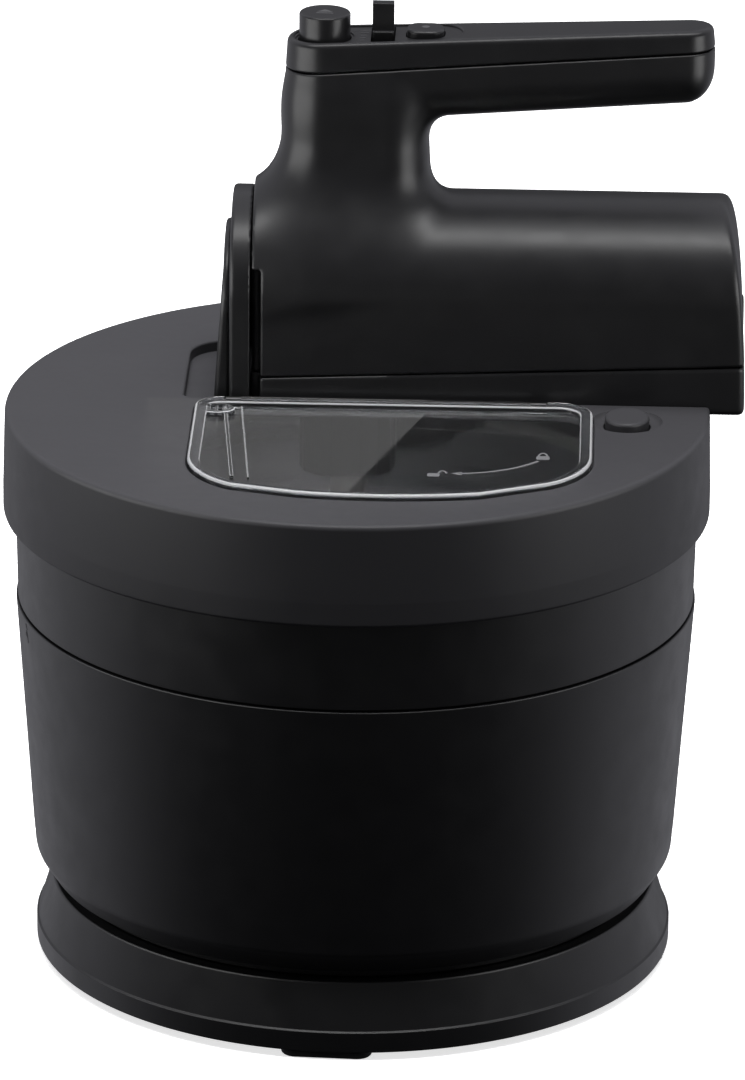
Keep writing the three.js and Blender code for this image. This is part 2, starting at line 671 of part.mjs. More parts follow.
function frontPlate() {
  const half = 27;
  const section = polygon([
    [MIXER_Y - half, BODY_BOTTOM + 0.2], [MIXER_Y + half, BODY_BOTTOM + 0.2],
    ...arcPoints(MIXER_Y, 229, half, 26.5, 0, 180, 14),
  ]);
  const lean = polygon([[-52, 190], [-46.3, 190], [-46.3, 270], [-48.6, 270], [-48.6, 245]]);
  return prismX(section, -53, -46.3).intersect(prismY(lean, -10, 90));
}

function handleCover() {
  const cap = gripSolid(0).subtract(halfSpace(gripSeam, GAP / 2, false));
  const under = gripSolid(WALL).translate([0, 0, -0.4]);
  return cut(
    cap,
    under,
    rodZ(9.5, 310, 345, EJECT_X, MIXER_Y, 24),
    box(LEVER_X - 4.3, LEVER_X + 4.3, MIXER_Y - 10, MIXER_Y + 10, 318, 345),
    prismZ(roundedRect(TURBO_X - 7, MIXER_Y - 6.3, TURBO_X + 7, MIXER_Y + 6.3, 4), 318, 345),
  );
}

// ---------------------------------------------------------------- controls
function ejectButton() {
  return turned([
    [0, 321.5], [9.1, 321.5], [9.1, EJECT_TOP - 0.8], [8.4, EJECT_TOP], [0, EJECT_TOP],
  ], 28, EJECT_X, MIXER_Y);
}

function ejectRod() {
  const rod = box(EJECT_X - 2, EJECT_X + 2, MIXER_Y - 1.5, MIXER_Y + 1.5, 247, 321.2);
  const yoke = box(EJECT_X - 2, SPINDLE_X + 3, MIXER_Y - 3, MIXER_Y + 3, 246, 249);
  const bar = box(SPINDLE_X - 3, SPINDLE_X + 3, MIXER_Y - 20, MIXER_Y + 20, 246, 249);
  const prongs = spindleYs().map((y) => rodZ(1.8, 226, 247, SPINDLE_X, y, 10));
  return union(rod, yoke, bar, ...prongs);
}

function speedLever() {
  const half = 3.8;
  const foot = box(LEVER_X - half, LEVER_X + half, MIXER_Y - 3.4, MIXER_Y + 3.4, 320.6, 328.6);
  const blade = prismX(polygon([
    [MIXER_Y - 1.4, 328], [MIXER_Y + 3.4, 328], [MIXER_Y + 2.6, LEVER_TOP - 1],
    [MIXER_Y + 0.2, LEVER_TOP], [MIXER_Y - 1.4, LEVER_TOP - 0.6],
  ]), LEVER_X - half, LEVER_X + half);
  return foot.add(blade);
}

function turboButton() {
  const outline = roundedRect(TURBO_X - 6.6, MIXER_Y - 5.9, TURBO_X + 6.6, MIXER_Y + 5.9, 3.8);
  const cap = prismZ(outline, 322, TURBO_TOP);
  return cap.add(rodZ(1.6, 317.6, 322.4, TURBO_X, MIXER_Y, 10));
}

const mixer = group(assembly);
piece(mixer, 'motor_housing', motorHousing(), satinShell());
piece(mixer, 'bottom_cover', bottomCover(), satinShell());
piece(mixer, 'front_cap', frontCap(), satinShell());
piece(mixer, 'front_plate', frontPlate(), satinShell());
piece(mixer, 'handle_cover', handleCover(), satinShell());
piece(mixer, 'cord_inlet', turnedX([
  [3.6, BODY_REAR - 12], [7.8, BODY_REAR - 12], [7.8, BODY_REAR - 2.6], [3.6, BODY_REAR - 2.6],
], 20, MIXER_Y, 224), greyRubber());
piece(mixer, 'eject_button', ejectButton(), satinShell());
piece(mixer, 'eject_rod', ejectRod(), darkPlastic());
piece(mixer, 'eject_spring', coil(3.2, 4.6, 306, 321, EJECT_X, MIXER_Y), steel());
piece(mixer, 'speed_lever', speedLever(), darkPlastic());
piece(mixer, 'speed_switch', box(LEVER_X - 5, LEVER_X + 5, MIXER_Y - 9, MIXER_Y + 9, 304, 320), darkPlastic());
piece(mixer, 'turbo_button', turboButton(), satinShell());
const turboSwitch = () => box(TURBO_X - 6, TURBO_X + 6, MIXER_Y - 4, MIXER_Y + 4, 305, 313.4);
piece(mixer, 'turbo_switch', turboSwitch(), darkPlastic());
piece(mixer, 'turbo_spring', coil(2.2, 3, 313.7, 321.7, TURBO_X, MIXER_Y), steel());

// ---------------------------------------------------------------- motor and gears
const WORM_PITCH = Math.PI * WORM_MODULE;

// A helical thread about +X whose crest faces -Y at x = middle.
function wormThread(middle, turns, inner, outer) {
  const steps = turns * 12;
  const corners = [[inner, -0.95], [inner, 0.95], [outer, 0.38], [outer, -0.38]];
  const positions = [];
  const index = [];
  for (let i = 0; i <= steps; i += 1) {
    const along = (i / steps - 0.5) * turns;
    const angle = Math.PI + along * 2 * Math.PI;
    for (const [radius, shift] of corners) {
      positions.push(middle + along * WORM_PITCH + shift, radius * Math.cos(angle), radius * Math.sin(angle));
    }
  }
  const quad = (a, b, c, d) => index.push(a, b, c, a, c, d);
  for (let i = 0; i < steps; i += 1) {
    for (let j = 0; j < 4; j += 1) {
      const k = (j + 1) % 4;
      quad(i * 4 + j, i * 4 + k, i * 4 + 4 + k, i * 4 + 4 + j);
    }
  }
  const last = steps * 4;
  quad(3, 2, 1, 0);
  quad(last, last + 1, last + 2, last + 3);
  const geometry = new THREE.BufferGeometry();
  geometry.setAttribute('position', new THREE.Float32BufferAttribute(positions, 3));
  geometry.setIndex(index);
  let solid = toSolid(geometry);
  if (solid.volume() < 0) {
    geometry.setIndex([...index].reverse());
    solid = toSolid(geometry);
  }
  return solid.translate([0, MIXER_Y, MOTOR_Z]);
}

function motorShaft() {
  const core = turnedX([
    [0, -30], [2.4, -30], [2.4, -14], [2.9, -13], [2.9, 6], [2.4, 7], [2.4, 92], [0, 92],
  ], 14, MIXER_Y, MOTOR_Z);
  return core.add(wormThread(SPINDLE_X, 4, 2.6, WORM_PITCH_R + 0.8));
}

// A worm wheel on a hollow spindle; its teeth lean with the worm's lead.
function spindleGear(y, phase) {
  const half = 3;
  const outline = gearOutline(WORM_GEAR_TEETH, WORM_MODULE, {
    phase, tip: 0.8, tipHalf: 0.12, rootHalf: 0.26,
  });
  const geometry = new THREE.ExtrudeGeometry(outline, { depth: 2 * half, bevelEnabled: false, steps: 1 });
  geometry.translate(0, 0, -half);
  const lead = WORM_MODULE / 2 / WORM_PITCH_R / (WORM_GEAR_TEETH * WORM_MODULE / 2);
  const position = geometry.attributes.position;
  const point = new THREE.Vector3();
  for (let i = 0; i < position.count; i += 1) {
    point.fromBufferAttribute(position, i).applyAxisAngle(Z, lead * position.getZ(i));
    position.setXYZ(i, point.x, point.y, point.z);
  }
  const wheel = toSolid(geometry).translate([0, 0, MOTOR_Z]);
  const spindle = rodZ(5, 205, 236.4, 0, 0, 16);
  return wheel.add(spindle).subtract(rodZ(2.8, 200, 240, 0, 0, 14)).translate([SPINDLE_X, y, 0]);
}

function gearboxFrame() {
  const half = 25;
  const floor = box(-26, 18, MIXER_Y - half, MIXER_Y + half, 212, 215);
  const wall = (x) => box(x, x + 3, MIXER_Y - half, MIXER_Y + half, 214, 246);
  return cut(
    union(floor, wall(-26), wall(15)),
    rodX(2.9, -40, 40, MIXER_Y, MOTOR_Z, 16),
    ...spindleYs().map((y) => rodZ(5.5, 205, 220, SPINDLE_X, y, 20)),
  );
}

function coolingFan() {
  const [front, rear] = FAN_X;
  const disc = turnedX([
    [2.7, front], [21, front], [21, front + 1.6], [5.5, front + 1.6], [5.5, rear], [2.7, rear],
  ], 24, 0, 0);
  const blades = [];
  for (let i = 0; i < 10; i += 1) {
    blades.push(box(front + 1.2, rear, -0.6, 0.6, 8, 20.6).rotate([i * 36, 0, 0]));
  }
  return union(disc, ...blades).translate([0, MIXER_Y, MOTOR_Z]);
}

function armatureCore() {
  const slots = 8;
  const section = polygon(Array.from({ length: slots * 4 }, (_, i) => {
    const step = i % 4;
    const angle = (Math.floor(i / 4) + [0.08, 0.12, 0.88, 0.92][step]) * 2 * Math.PI / slots;
    const radius = [9.6, 13, 13, 9.6][step];
    return [radius * Math.cos(angle), radius * Math.sin(angle)];
  }));
  const bore = rodX(2.7, CORE_X[0] - 5, CORE_X[1] + 5, 0, 0, 14);
  return prismX(section, ...CORE_X).subtract(bore).translate([0, MIXER_Y, MOTOR_Z]);
}

function arcBlock(inner, outer, from, to, x0, x1) {
  return prismX(polygon([
    ...arcPoints(0, 0, outer, outer, from, to, 8),
    ...arcPoints(0, 0, inner, inner, to, from, 8),
  ]), x0, x1).translate([0, MIXER_Y, MOTOR_Z]);
}

function statorCore() {
  const [front, rear] = [CORE_X[0] + 1, CORE_X[1] - 1];
  const ring = turnedX([[18.8, front], [22.6, front], [22.6, rear], [18.8, rear]], 32, MIXER_Y, MOTOR_Z);
  return union(ring, arcBlock(14, 19.4, -34, 34, front, rear), arcBlock(14, 19.4, 146, 214, front, rear));
}

function rearBracket() {
  const plate = prismX(ellipse(0, 0, 23, 22.5, 24), ...BRACKET_X);
  const windows = arcPoints(0, 0, 13.5, 13.5, 45, 315, 3).map(([y, z]) => rodX(5, 70, 100, y, z, 10));
  return cut(plate, rodX(2.9, 70, 100, 0, 0, 16), ...windows).translate([0, MIXER_Y, MOTOR_Z]);
}

const commutatorRing = () => turnedX([
  [2.7, COMMUTATOR_X[0]], [8, COMMUTATOR_X[0]], [8, COMMUTATOR_X[1]], [2.7, COMMUTATOR_X[1]],
], 20, MIXER_Y, MOTOR_Z);

// A carbon brush against the commutator; side is -1 at the front and 1 at the back.
function brush(side) {
  const ends = [MIXER_Y + side * 8.4, MIXER_Y + side * 16].sort((a, b) => a - b);
  return box(...BRUSH_X, ...ends, MOTOR_Z - 2.4, MOTOR_Z + 2.4);
}

piece(mixer, 'motor_shaft', motorShaft(), steel());
piece(mixer, 'armature_core', armatureCore(), laminatedIron());
piece(mixer, 'commutator', commutatorRing(), copper());
piece(mixer, 'cooling_fan', coolingFan(), darkPlastic());
const gearPhases = [Math.PI / 2 + Math.PI / WORM_GEAR_TEETH, -Math.PI / 2];
spindleYs().forEach((y, i) => {
  piece(mixer, `${SIDES[i]}_spindle_gear`, spindleGear(y, gearPhases[i]), whiteNylon());
});
piece(mixer, 'gearbox_frame', gearboxFrame(), darkPlastic());
piece(mixer, 'stator_core', statorCore(), laminatedIron());
piece(mixer, 'upper_field_coil', arcBlock(14.6, 18.4, 42, 138, 35, 67), copper());
piece(mixer, 'lower_field_coil', arcBlock(14.6, 18.4, 222, 318, 35, 67), copper());
piece(mixer, 'rear_bearing_bracket', rearBracket(), darkPlastic());
piece(mixer, 'near_brush', brush(-1), carbon());
piece(mixer, 'far_brush', brush(1), carbon());
piece(mixer, 'control_board', box(100, 101.6, MIXER_Y - 20, MIXER_Y + 20, 206, 246), boardGreen());

export default assembly;
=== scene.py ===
"""Looks for the hand mixer docked on its mixing barrel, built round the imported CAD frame.

Metres in Blender; the helpers take millimetres, in the part's own frame: origin at the centre of the
base plate's underside, +X to the mixer's rear, +Y to the back, +Z up.
"""
import json
import math

import bpy
import bmesh
import numpy as np
from mathutils import Matrix, Vector


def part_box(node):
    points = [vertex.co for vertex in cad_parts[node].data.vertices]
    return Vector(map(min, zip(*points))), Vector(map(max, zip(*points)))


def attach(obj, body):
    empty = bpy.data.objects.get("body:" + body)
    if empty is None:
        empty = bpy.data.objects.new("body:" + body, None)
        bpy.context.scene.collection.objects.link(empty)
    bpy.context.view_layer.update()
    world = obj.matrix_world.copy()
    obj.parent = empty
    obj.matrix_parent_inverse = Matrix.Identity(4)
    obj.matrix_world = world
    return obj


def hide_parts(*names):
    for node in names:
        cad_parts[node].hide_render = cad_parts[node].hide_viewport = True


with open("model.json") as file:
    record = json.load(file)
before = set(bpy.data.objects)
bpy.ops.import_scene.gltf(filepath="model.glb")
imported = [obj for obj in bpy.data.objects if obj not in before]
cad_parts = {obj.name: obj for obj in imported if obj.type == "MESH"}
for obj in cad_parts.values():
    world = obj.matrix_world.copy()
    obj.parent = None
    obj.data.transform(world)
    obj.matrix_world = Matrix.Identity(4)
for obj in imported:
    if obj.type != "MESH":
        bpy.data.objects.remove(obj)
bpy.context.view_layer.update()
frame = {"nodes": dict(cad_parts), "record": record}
MM = 0.001
scene = bpy.context.scene

# ------------------------------------------------------------------ driving dimensions, in mm
LID_R, LID_TOP = 125.0, 200.2
SKIRT_R, SKIRT_BOTTOM = 125.7, 163.2
SEAM_R, SEAM_Z = 121.1, 130.9
HOUSING_LOW_R, HOUSING_LOW_Z = 115.0, 40.0
FOOT_R, FOOT_TOP = 114.4, 24.5
MIXER_Y, BODY_HALF, ARCH_Z = 37.0, 31.0, 237.3
BODY_BOTTOM, BODY_FRONT, BODY_REAR, REAR_BULGE = 196.5, -38.3, 137.2, 10.4
SPINDLE_X, SPINDLE_SPREAD = -4.0, 15.0
RECESS_FLOOR = 196.2
EJECT_X, LEVER_X, TURBO_X = -13.8, 6.9, 21.9
EJECT_TOP, TURBO_TOP = 334.4, 329.4
SEAM_GAP = 0.22                      # visible half gap at the moulded seams


def cover_seam(x):
    return 209.2 + 0.041 * x


def grip_top(x):
    return 326.7 + 0.0423 * x


def grip_low(x):
    return 295.1 + 0.0645 * x


def grip_seam(x):
    return 316.2 + 0.0645 * x


# ------------------------------------------------------------------ camera
def add_camera():
    """A long lens, 20 degrees above the horizon and a touch to the right of square."""
    pitch, azimuth, roll = (math.radians(a) for a in (20.2, 1.6, 0.55))
    distance = 3000.0
    ahead = math.cos(pitch)
    right = Vector((math.cos(azimuth), math.sin(azimuth), 0))
    back = Vector((math.sin(azimuth) * ahead, -math.cos(azimuth) * ahead, math.sin(pitch)))
    target = right * 5.8 + Vector((0, 0, 149.4))
    data = bpy.data.cameras.new("camera")
    data.sensor_fit = "VERTICAL"
    data.sensor_height = 36
    data.lens = 280.4
    data.clip_end = 50
    camera = bpy.data.objects.new("camera", data)
    scene.collection.objects.link(camera)
    axes = Matrix((right, back.cross(right), back)).transposed().to_4x4()
    turn = Matrix.Rotation(roll, 4, "Z")
    camera.matrix_world = Matrix.Translation((target + back * distance) * MM) @ axes @ turn
    scene.camera = camera


add_camera()


# ------------------------------------------------------------------ materials
def new_material(name):
    material = bpy.data.materials.new(name)
    material.use_nodes = True
    nodes = material.node_tree.nodes
    return material, nodes, material.node_tree.links, nodes["Principled BSDF"]


def noise(nodes, links, scale, detail=4.0):
    coords = nodes.new("ShaderNodeTexCoord")
    texture = nodes.new("ShaderNodeTexNoise")
    texture.inputs["Scale"].default_value = scale
    texture.inputs["Detail"].default_value = detail
    texture.inputs["Roughness"].default_value = 0.55
    links.new(coords.outputs["Object"], texture.inputs["Vector"])
    return texture.outputs["Fac"]


def ramp(nodes, links, fac, low, high, start=0.3, end=0.7):
    node = nodes.new("ShaderNodeMapRange")
    node.inputs["From Min"].default_value = start
    node.inputs["From Max"].default_value = end
    node.inputs["To Min"].default_value = low
    node.inputs["To Max"].default_value = high
    links.new(fac, node.inputs["Value"])
    return node.outputs["Result"]


def colour_mix(nodes, links, fac, dark, light):
    node = nodes.new("ShaderNodeMix")
    node.data_type = "RGBA"
    node.inputs[6].default_value = (*dark, 1)
    node.inputs[7].default_value = (*light, 1)
    links.new(fac, node.inputs[0])
    return node.outputs[2]


def add_bump(nodes, links, shader, height, strength, distance):
    node = nodes.new("ShaderNodeBump")
    node.inputs["Strength"].default_value = strength
    node.inputs["Distance"].default_value = distance
    links.new(height, node.inputs["Height"])
    links.new(node.outputs["Normal"], shader.inputs["Normal"])


def moulded(name, dark, light, rough, grain_scale=1400.0, grain=0.12, wear=1.0, specular=0.5):
    """Moulded plastic: fine spark-eroded grain, faint cloudiness in tone and gloss, polished edges."""
    material, nodes, links, shader = new_material(name)
    cloud = noise(nodes, links, 28.0)
    links.new(colour_mix(nodes, links, cloud, dark, light), shader.inputs["Base Color"])
    mottled = ramp(nodes, links, noise(nodes, links, 90.0), rough - 0.03, rough + 0.04)
    geometry = nodes.new("ShaderNodeNewGeometry")
    edge = ramp(nodes, links, geometry.outputs["Pointiness"], 0.0, -0.07 * wear, 0.52, 0.6)
    total = nodes.new("ShaderNodeMath")
    links.new(mottled, total.inputs[0])
    links.new(edge, total.inputs[1])
    links.new(total.outputs[0], shader.inputs["Roughness"])
    shader.inputs["Specular IOR Level"].default_value = specular
    add_bump(nodes, links, shader, noise(nodes, links, grain_scale, 2.0), grain, 0.00008)
    return material


def metal(name, dark, light, rough, stretch=(1, 1, 60)):
    """Brushed or turned metal: streaks along the stretched axis."""
    material, nodes, links, shader = new_material(name)
    coords = nodes.new("ShaderNodeTexCoord")
    mapping = nodes.new("ShaderNodeMapping")
    mapping.inputs["Scale"].default_value = stretch
    texture = nodes.new("ShaderNodeTexNoise")
    texture.inputs["Scale"].default_value = 400 / max(stretch)
    texture.inputs["Detail"].default_value = 6
    links.new(coords.outputs["Object"], mapping.inputs["Vector"])
    links.new(mapping.outputs["Vector"], texture.inputs["Vector"])
    fac = texture.outputs["Fac"]
    links.new(colour_mix(nodes, links, fac, dark, light), shader.inputs["Base Color"])
    links.new(ramp(nodes, links, fac, rough - 0.08, rough + 0.1), shader.inputs["Roughness"])
    shader.inputs["Metallic"].default_value = 1.0
    add_bump(nodes, links, shader, fac, 0.08, 0.00005)
    return material


def clear(name, transmission):
    """Clear moulded plastic with faint flow marks and a trace of haze."""
    material, nodes, links, shader = new_material(name)
    shader.inputs["Base Color"].default_value = (0.90, 0.91, 0.93, 1)
    shader.inputs["IOR"].default_value = 1.49
    shader.inputs["Transmission Weight"].default_value = transmission
    links.new(ramp(nodes, links, noise(nodes, links, 35.0), 0.02, 0.07), shader.inputs["Roughness"])
    add_bump(nodes, links, shader, noise(nodes, links, 60.0, 1.0), 0.03, 0.0002)
    return material


SHELL = moulded("satin_shell", (0.0080, 0.0080, 0.0086), (0.0098, 0.0097, 0.0106), 0.34)
# A lighter copy of the same satin shell plastic: painted light, so the lid top and the release button read as
# lit from above.
LID_SHELL_PAINTED_LIGHT = moulded("lid_shell_painted_light", (0.0260, 0.0257, 0.0280), (0.0296, 0.0293, 0.0320), 0.44, specular=0.3)
# A darker copy of the same satin shell plastic: painted shade, for the barrel's side, the collar under the
# lid's overhang and the foot ring.
BARREL_SHELL_PAINTED_SHADE = moulded("barrel_shell_painted_shade", (0.0028, 0.0028, 0.0033), (0.0036, 0.0035, 0.0042), 0.38)
DARK = moulded("dark_plastic", (0.0030, 0.0030, 0.0034), (0.0044, 0.0043, 0.0050), 0.46)
RUBBER = moulded("rubber", (0.010, 0.010, 0.0105), (0.016, 0.016, 0.0165), 0.78, 900.0, 0.3, 0.3, 0.35)
NYLON = moulded("nylon", (0.60, 0.585, 0.54), (0.70, 0.685, 0.64), 0.42, 700.0, 0.08)
BOARD = moulded("board", (0.010, 0.055, 0.022), (0.016, 0.085, 0.034), 0.35, 500.0, 0.1)
CARBON = moulded("carbon", (0.012, 0.012, 0.013), (0.025, 0.025, 0.026), 0.7, 800.0, 0.3)
MARK = moulded("printed_mark", (0.080, 0.080, 0.083), (0.100, 0.100, 0.104), 0.5, 1500.0, 0.05)
STEEL = metal("steel", (0.42, 0.42, 0.43), (0.62, 0.62, 0.63), 0.3)
BRASS = metal("brass", (0.52, 0.38, 0.16), (0.66, 0.5, 0.24), 0.3)
DARK_STEEL = metal("dark_steel", (0.05, 0.05, 0.052), (0.09, 0.09, 0.092), 0.35)
COPPER = metal("copper", (0.55, 0.24, 0.12), (0.72, 0.36, 0.2), 0.35)
IRON = metal("iron", (0.14, 0.14, 0.145), (0.26, 0.26, 0.265), 0.5, (60, 1, 1))
CLEAR = clear("clear_plastic", 0.995)
# A less clear copy for the door's upward-facing lip roundings: painted highlight, so the lips show as bright
# lines.
CLEAR_EDGE_PAINTED_HIGHLIGHT = clear("clear_edge_painted_highlight", 0.72)
FAINT_MARK = moulded("faint_mark", (0.030, 0.030, 0.032), (0.038, 0.038, 0.040), 0.5, 1500.0, 0.05)
BY_SLOT = {
    "satin_shell": SHELL, "dark_plastic": DARK, "rubber": RUBBER, "clear_plastic": CLEAR, "nylon": NYLON,
    "steel": STEEL, "brass": BRASS, "copper": COPPER, "iron": IRON, "carbon": CARBON, "board": BOARD,
}


def dress_frame():
    """Every CAD node that stays takes the procedural material of its slot."""
    for part in frame["record"]["subparts"]:
        mesh = frame["nodes"][part["node"]].data
        mesh.materials.clear()
        mesh.materials.append(BY_SLOT[part["material_slot"]])


dress_frame()
frame["nodes"]["door_hinge_pin"].data.materials[0] = DARK_STEEL


# ------------------------------------------------------------------ mesh helpers (millimetres in, metres out)
def finish_piece(name, mesh, material, body, nodes=(), sharp=32.0, weighted=True):
    """Makes an object of the mesh, smooths it, and fixes it to its body."""
    piece = bpy.data.objects.new(name, mesh)
    scene.collection.objects.link(piece)
    mesh.name = name
    mesh.materials.clear()
    mesh.materials.append(material)
    mesh.shade_smooth()
    mesh.set_sharp_from_angle(angle=math.radians(sharp))
    if weighted:
        modifier = piece.modifiers.new("normals", "WEIGHTED_NORMAL")
        modifier.keep_sharp = True
        modifier.weight = 80
    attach(piece, body)
    if nodes:
        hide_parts(*nodes)
    return piece


def skin(node, mesh, material, body, sharp=32.0, weighted=True):
    """The visible piece that takes one CAD node's place, named after it."""
    return finish_piece(node + "_skin", mesh, material, body, [node], sharp, weighted)


def mesh_from(name, verts, faces):
    mesh = bpy.data.meshes.new(name)
    points = [tuple(float(c) * MM for c in v) for v in verts]
    mesh.from_pydata(points, [], [tuple(map(int, f)) for f in faces])
    mesh.validate()
    bm = bmesh.new()
    bm.from_mesh(mesh)
    bmesh.ops.recalc_face_normals(bm, faces=bm.faces)
    bm.to_mesh(mesh)
    bm.free()
    return mesh


def smooth_arc(cx, cy, rx, ry, start, end, steps):
    """Points of an elliptical arc, from the angle start to the angle end in degrees."""
    angles = [math.radians(start + (end - start) * i / steps) for i in range(steps + 1)]
    return [(cx + rx * math.cos(a), cy + ry * math.sin(a)) for a in angles]


def ellipse(cx, cy, rx, ry, steps=64):
    return smooth_arc(cx, cy, rx, ry, 0, 360 * (steps - 1) / steps, steps - 1)


def rounded(points, radius, steps=4, closed=True):
    """A polyline with each corner rounded; a point may carry its own radius as a third number."""
    count = len(points)
    result = []
    for i, point in enumerate(points):
        corner = Vector(point[:2])
        size = point[2] if len(point) > 2 else radius
        if size <= 0 or (not closed and i in (0, count - 1)):
            result.append(tuple(corner))
            continue
        before = Vector(points[i - 1][:2]) - corner
        after = Vector(points[(i + 1) % count][:2]) - corner
        angle = before.angle(after)
        reach = min(size / math.tan(angle / 2), before.length * 0.49, after.length * 0.49)
        a = corner + before.normalized() * reach
        b = corner + after.normalized() * reach
        for j in range(steps + 1):
            t = j / steps
            result.append(tuple(a * (1 - t) ** 2 + corner * (2 * t * (1 - t)) + b * t ** 2))
    return result


def lathe(name, profile, segments=256, centre=(0.0, 0.0)):
    """Turned solid about +Z from a closed profile of (radius, z); a profile may start and end on the axis."""
    on_axis = profile[0][0] < 1e-6 and profile[-1][0] < 1e-6
    inner = profile[1:-1] if on_axis else profile
    angles = np.linspace(0, 2 * math.pi, segments, endpoint=False)
    verts = [(centre[0] + r * math.cos(a), centre[1] + r * math.sin(a), z) for a in angles for r, z in inner]
    rows = len(inner)
    faces = []
    for i in range(segments):
        j = (i + 1) % segments
        for k in range(rows - 1 if on_axis else rows):
            m = (k + 1) % rows
            faces.append((i * rows + k, j * rows + k, j * rows + m, i * rows + m))
    if on_axis:
        faces.append([i * rows for i in range(segments)])
        faces.append([i * rows + rows - 1 for i in range(segments)][::-1])
    return mesh_from(name, verts, faces)


def loft(name, rings):
    """Closed solid through rings of 3-D points, each with the same count, capped at both ends."""
    count = len(rings[0])
    verts = [p for ring in rings for p in ring]
    faces = []
    for i in range(len(rings) - 1):
        for k in range(count):
            m = (k + 1) % count
            faces.append((i * count + k, i * count + m, (i + 1) * count + m, (i + 1) * count + k))
    faces.append(list(range(count))[::-1])
    faces.append([(len(rings) - 1) * count + k for k in range(count)])
    return mesh_from(name, verts, faces)


def offset_outline(outline, grow):
    """Moves a closed outline outwards along its own normals."""
    points = np.array(outline, float)
    ahead = np.roll(points, -1, 0) - points
    ahead /= np.linalg.norm(ahead, axis=1, keepdims=True) + 1e-12
    behind = np.roll(ahead, 1, 0)
    tangent = ahead + behind
    tangent /= np.linalg.norm(tangent, axis=1, keepdims=True)
    normal = np.stack([tangent[:, 1], -tangent[:, 0]], 1)
    area = np.sum(points[:, 0] * np.roll(points[:, 1], -1) - points[:, 1] * np.roll(points[:, 0], -1))
    if area < 0:
        normal = -normal
    return points + normal * grow


def slab(name, outline, rows):
    """Solid from an outline lofted through rows of (z, growth)."""
    return loft(name, [[(x, y, z) for x, y in offset_outline(outline, grow)] for z, grow in rows])


def lip_rows(low, high, radius):
    """Rows of a cutter whose mouth flares outwards like a rounded edge."""
    rows = [(low, 0.0)]
    for i in range(6):
        angle = math.pi / 2 * i / 5
        rows.append((high - radius + radius * math.sin(angle), radius * (1 - math.cos(angle))))
    rows.append((high + 4, radius + 0.01))
    return rows


def crown_rows(low, high, radius, steps=5, foot=0.0):
    """Rows of a solid with a rounded top edge, and optionally a rounded foot."""
    rows = []
    if foot:
        rows += [(low + foot - foot * math.cos(a), -foot + foot * math.sin(a))
                 for a in np.linspace(0, math.pi / 2, steps + 1)]
    else:
        rows.append((low, 0.0))
    rows += [(high - radius + radius * math.sin(a), -radius + radius * math.cos(a))
             for a in np.linspace(0, math.pi / 2, steps + 1)]
    return rows


def boolean(target, cutters, operation="DIFFERENCE"):
    """Applies exact booleans of the cutter meshes to the target mesh."""
    base = bpy.data.objects.new("boolean_base", target)
    scene.collection.objects.link(base)
    helpers = []
    for cutter in cutters:
        helper = bpy.data.objects.new("boolean_cutter", cutter)
        scene.collection.objects.link(helper)
        modifier = base.modifiers.new("cut", "BOOLEAN")
        modifier.solver = "EXACT"
        modifier.operation = operation
        modifier.object = helper
        helpers.append(helper)
    graph = bpy.context.evaluated_depsgraph_get()
    result = bpy.data.meshes.new_from_object(base.evaluated_get(graph))
    for thing in [base, *helpers]:
        bpy.data.objects.remove(thing)
    return result


def joined(name, meshes):
    """One mesh holding several separate solids."""
    bm = bmesh.new()
    for mesh in meshes:
        bm.from_mesh(mesh)
    result = bpy.data.meshes.new(name)
    bm.to_mesh(result)
    bm.free()
    return result


def mark(name, parts, material, body):
    """A moulded or printed mark made of several flat solids."""
    return finish_piece(name, joined(name, parts), material, body, (), 30, False)


# ------------------------------------------------------------------ moulded shells from distance fields
def smooth_min(a, b, k):
    h = np.maximum(k - np.abs(a - b), 0.0) / k
    return np.minimum(a, b) - h * h * k * 0.25


def smooth_max(a, b, k):
    return -smooth_min(-a, -b, k)


def steps(*spans):
    """Grid lines from spans of (start, end, step), joined end to end."""
    lines = [np.linspace(a, b, max(2, int(round((b - a) / step)) + 1)) for a, b, step in spans]
    return np.concatenate([lines[0], *[line[1:] for line in lines[1:]]])


def warped_grid(xs, ys, shares, low, high):
    """Grid whose levels run from the surface low(x) to the surface high(x), both at z for each x."""
    x, y, w = np.meshgrid(xs, ys, shares, indexing="ij")
    return np.stack([x, y, low(x) + (high(x) - low(x)) * w], -1)


NET_PASSES = 6


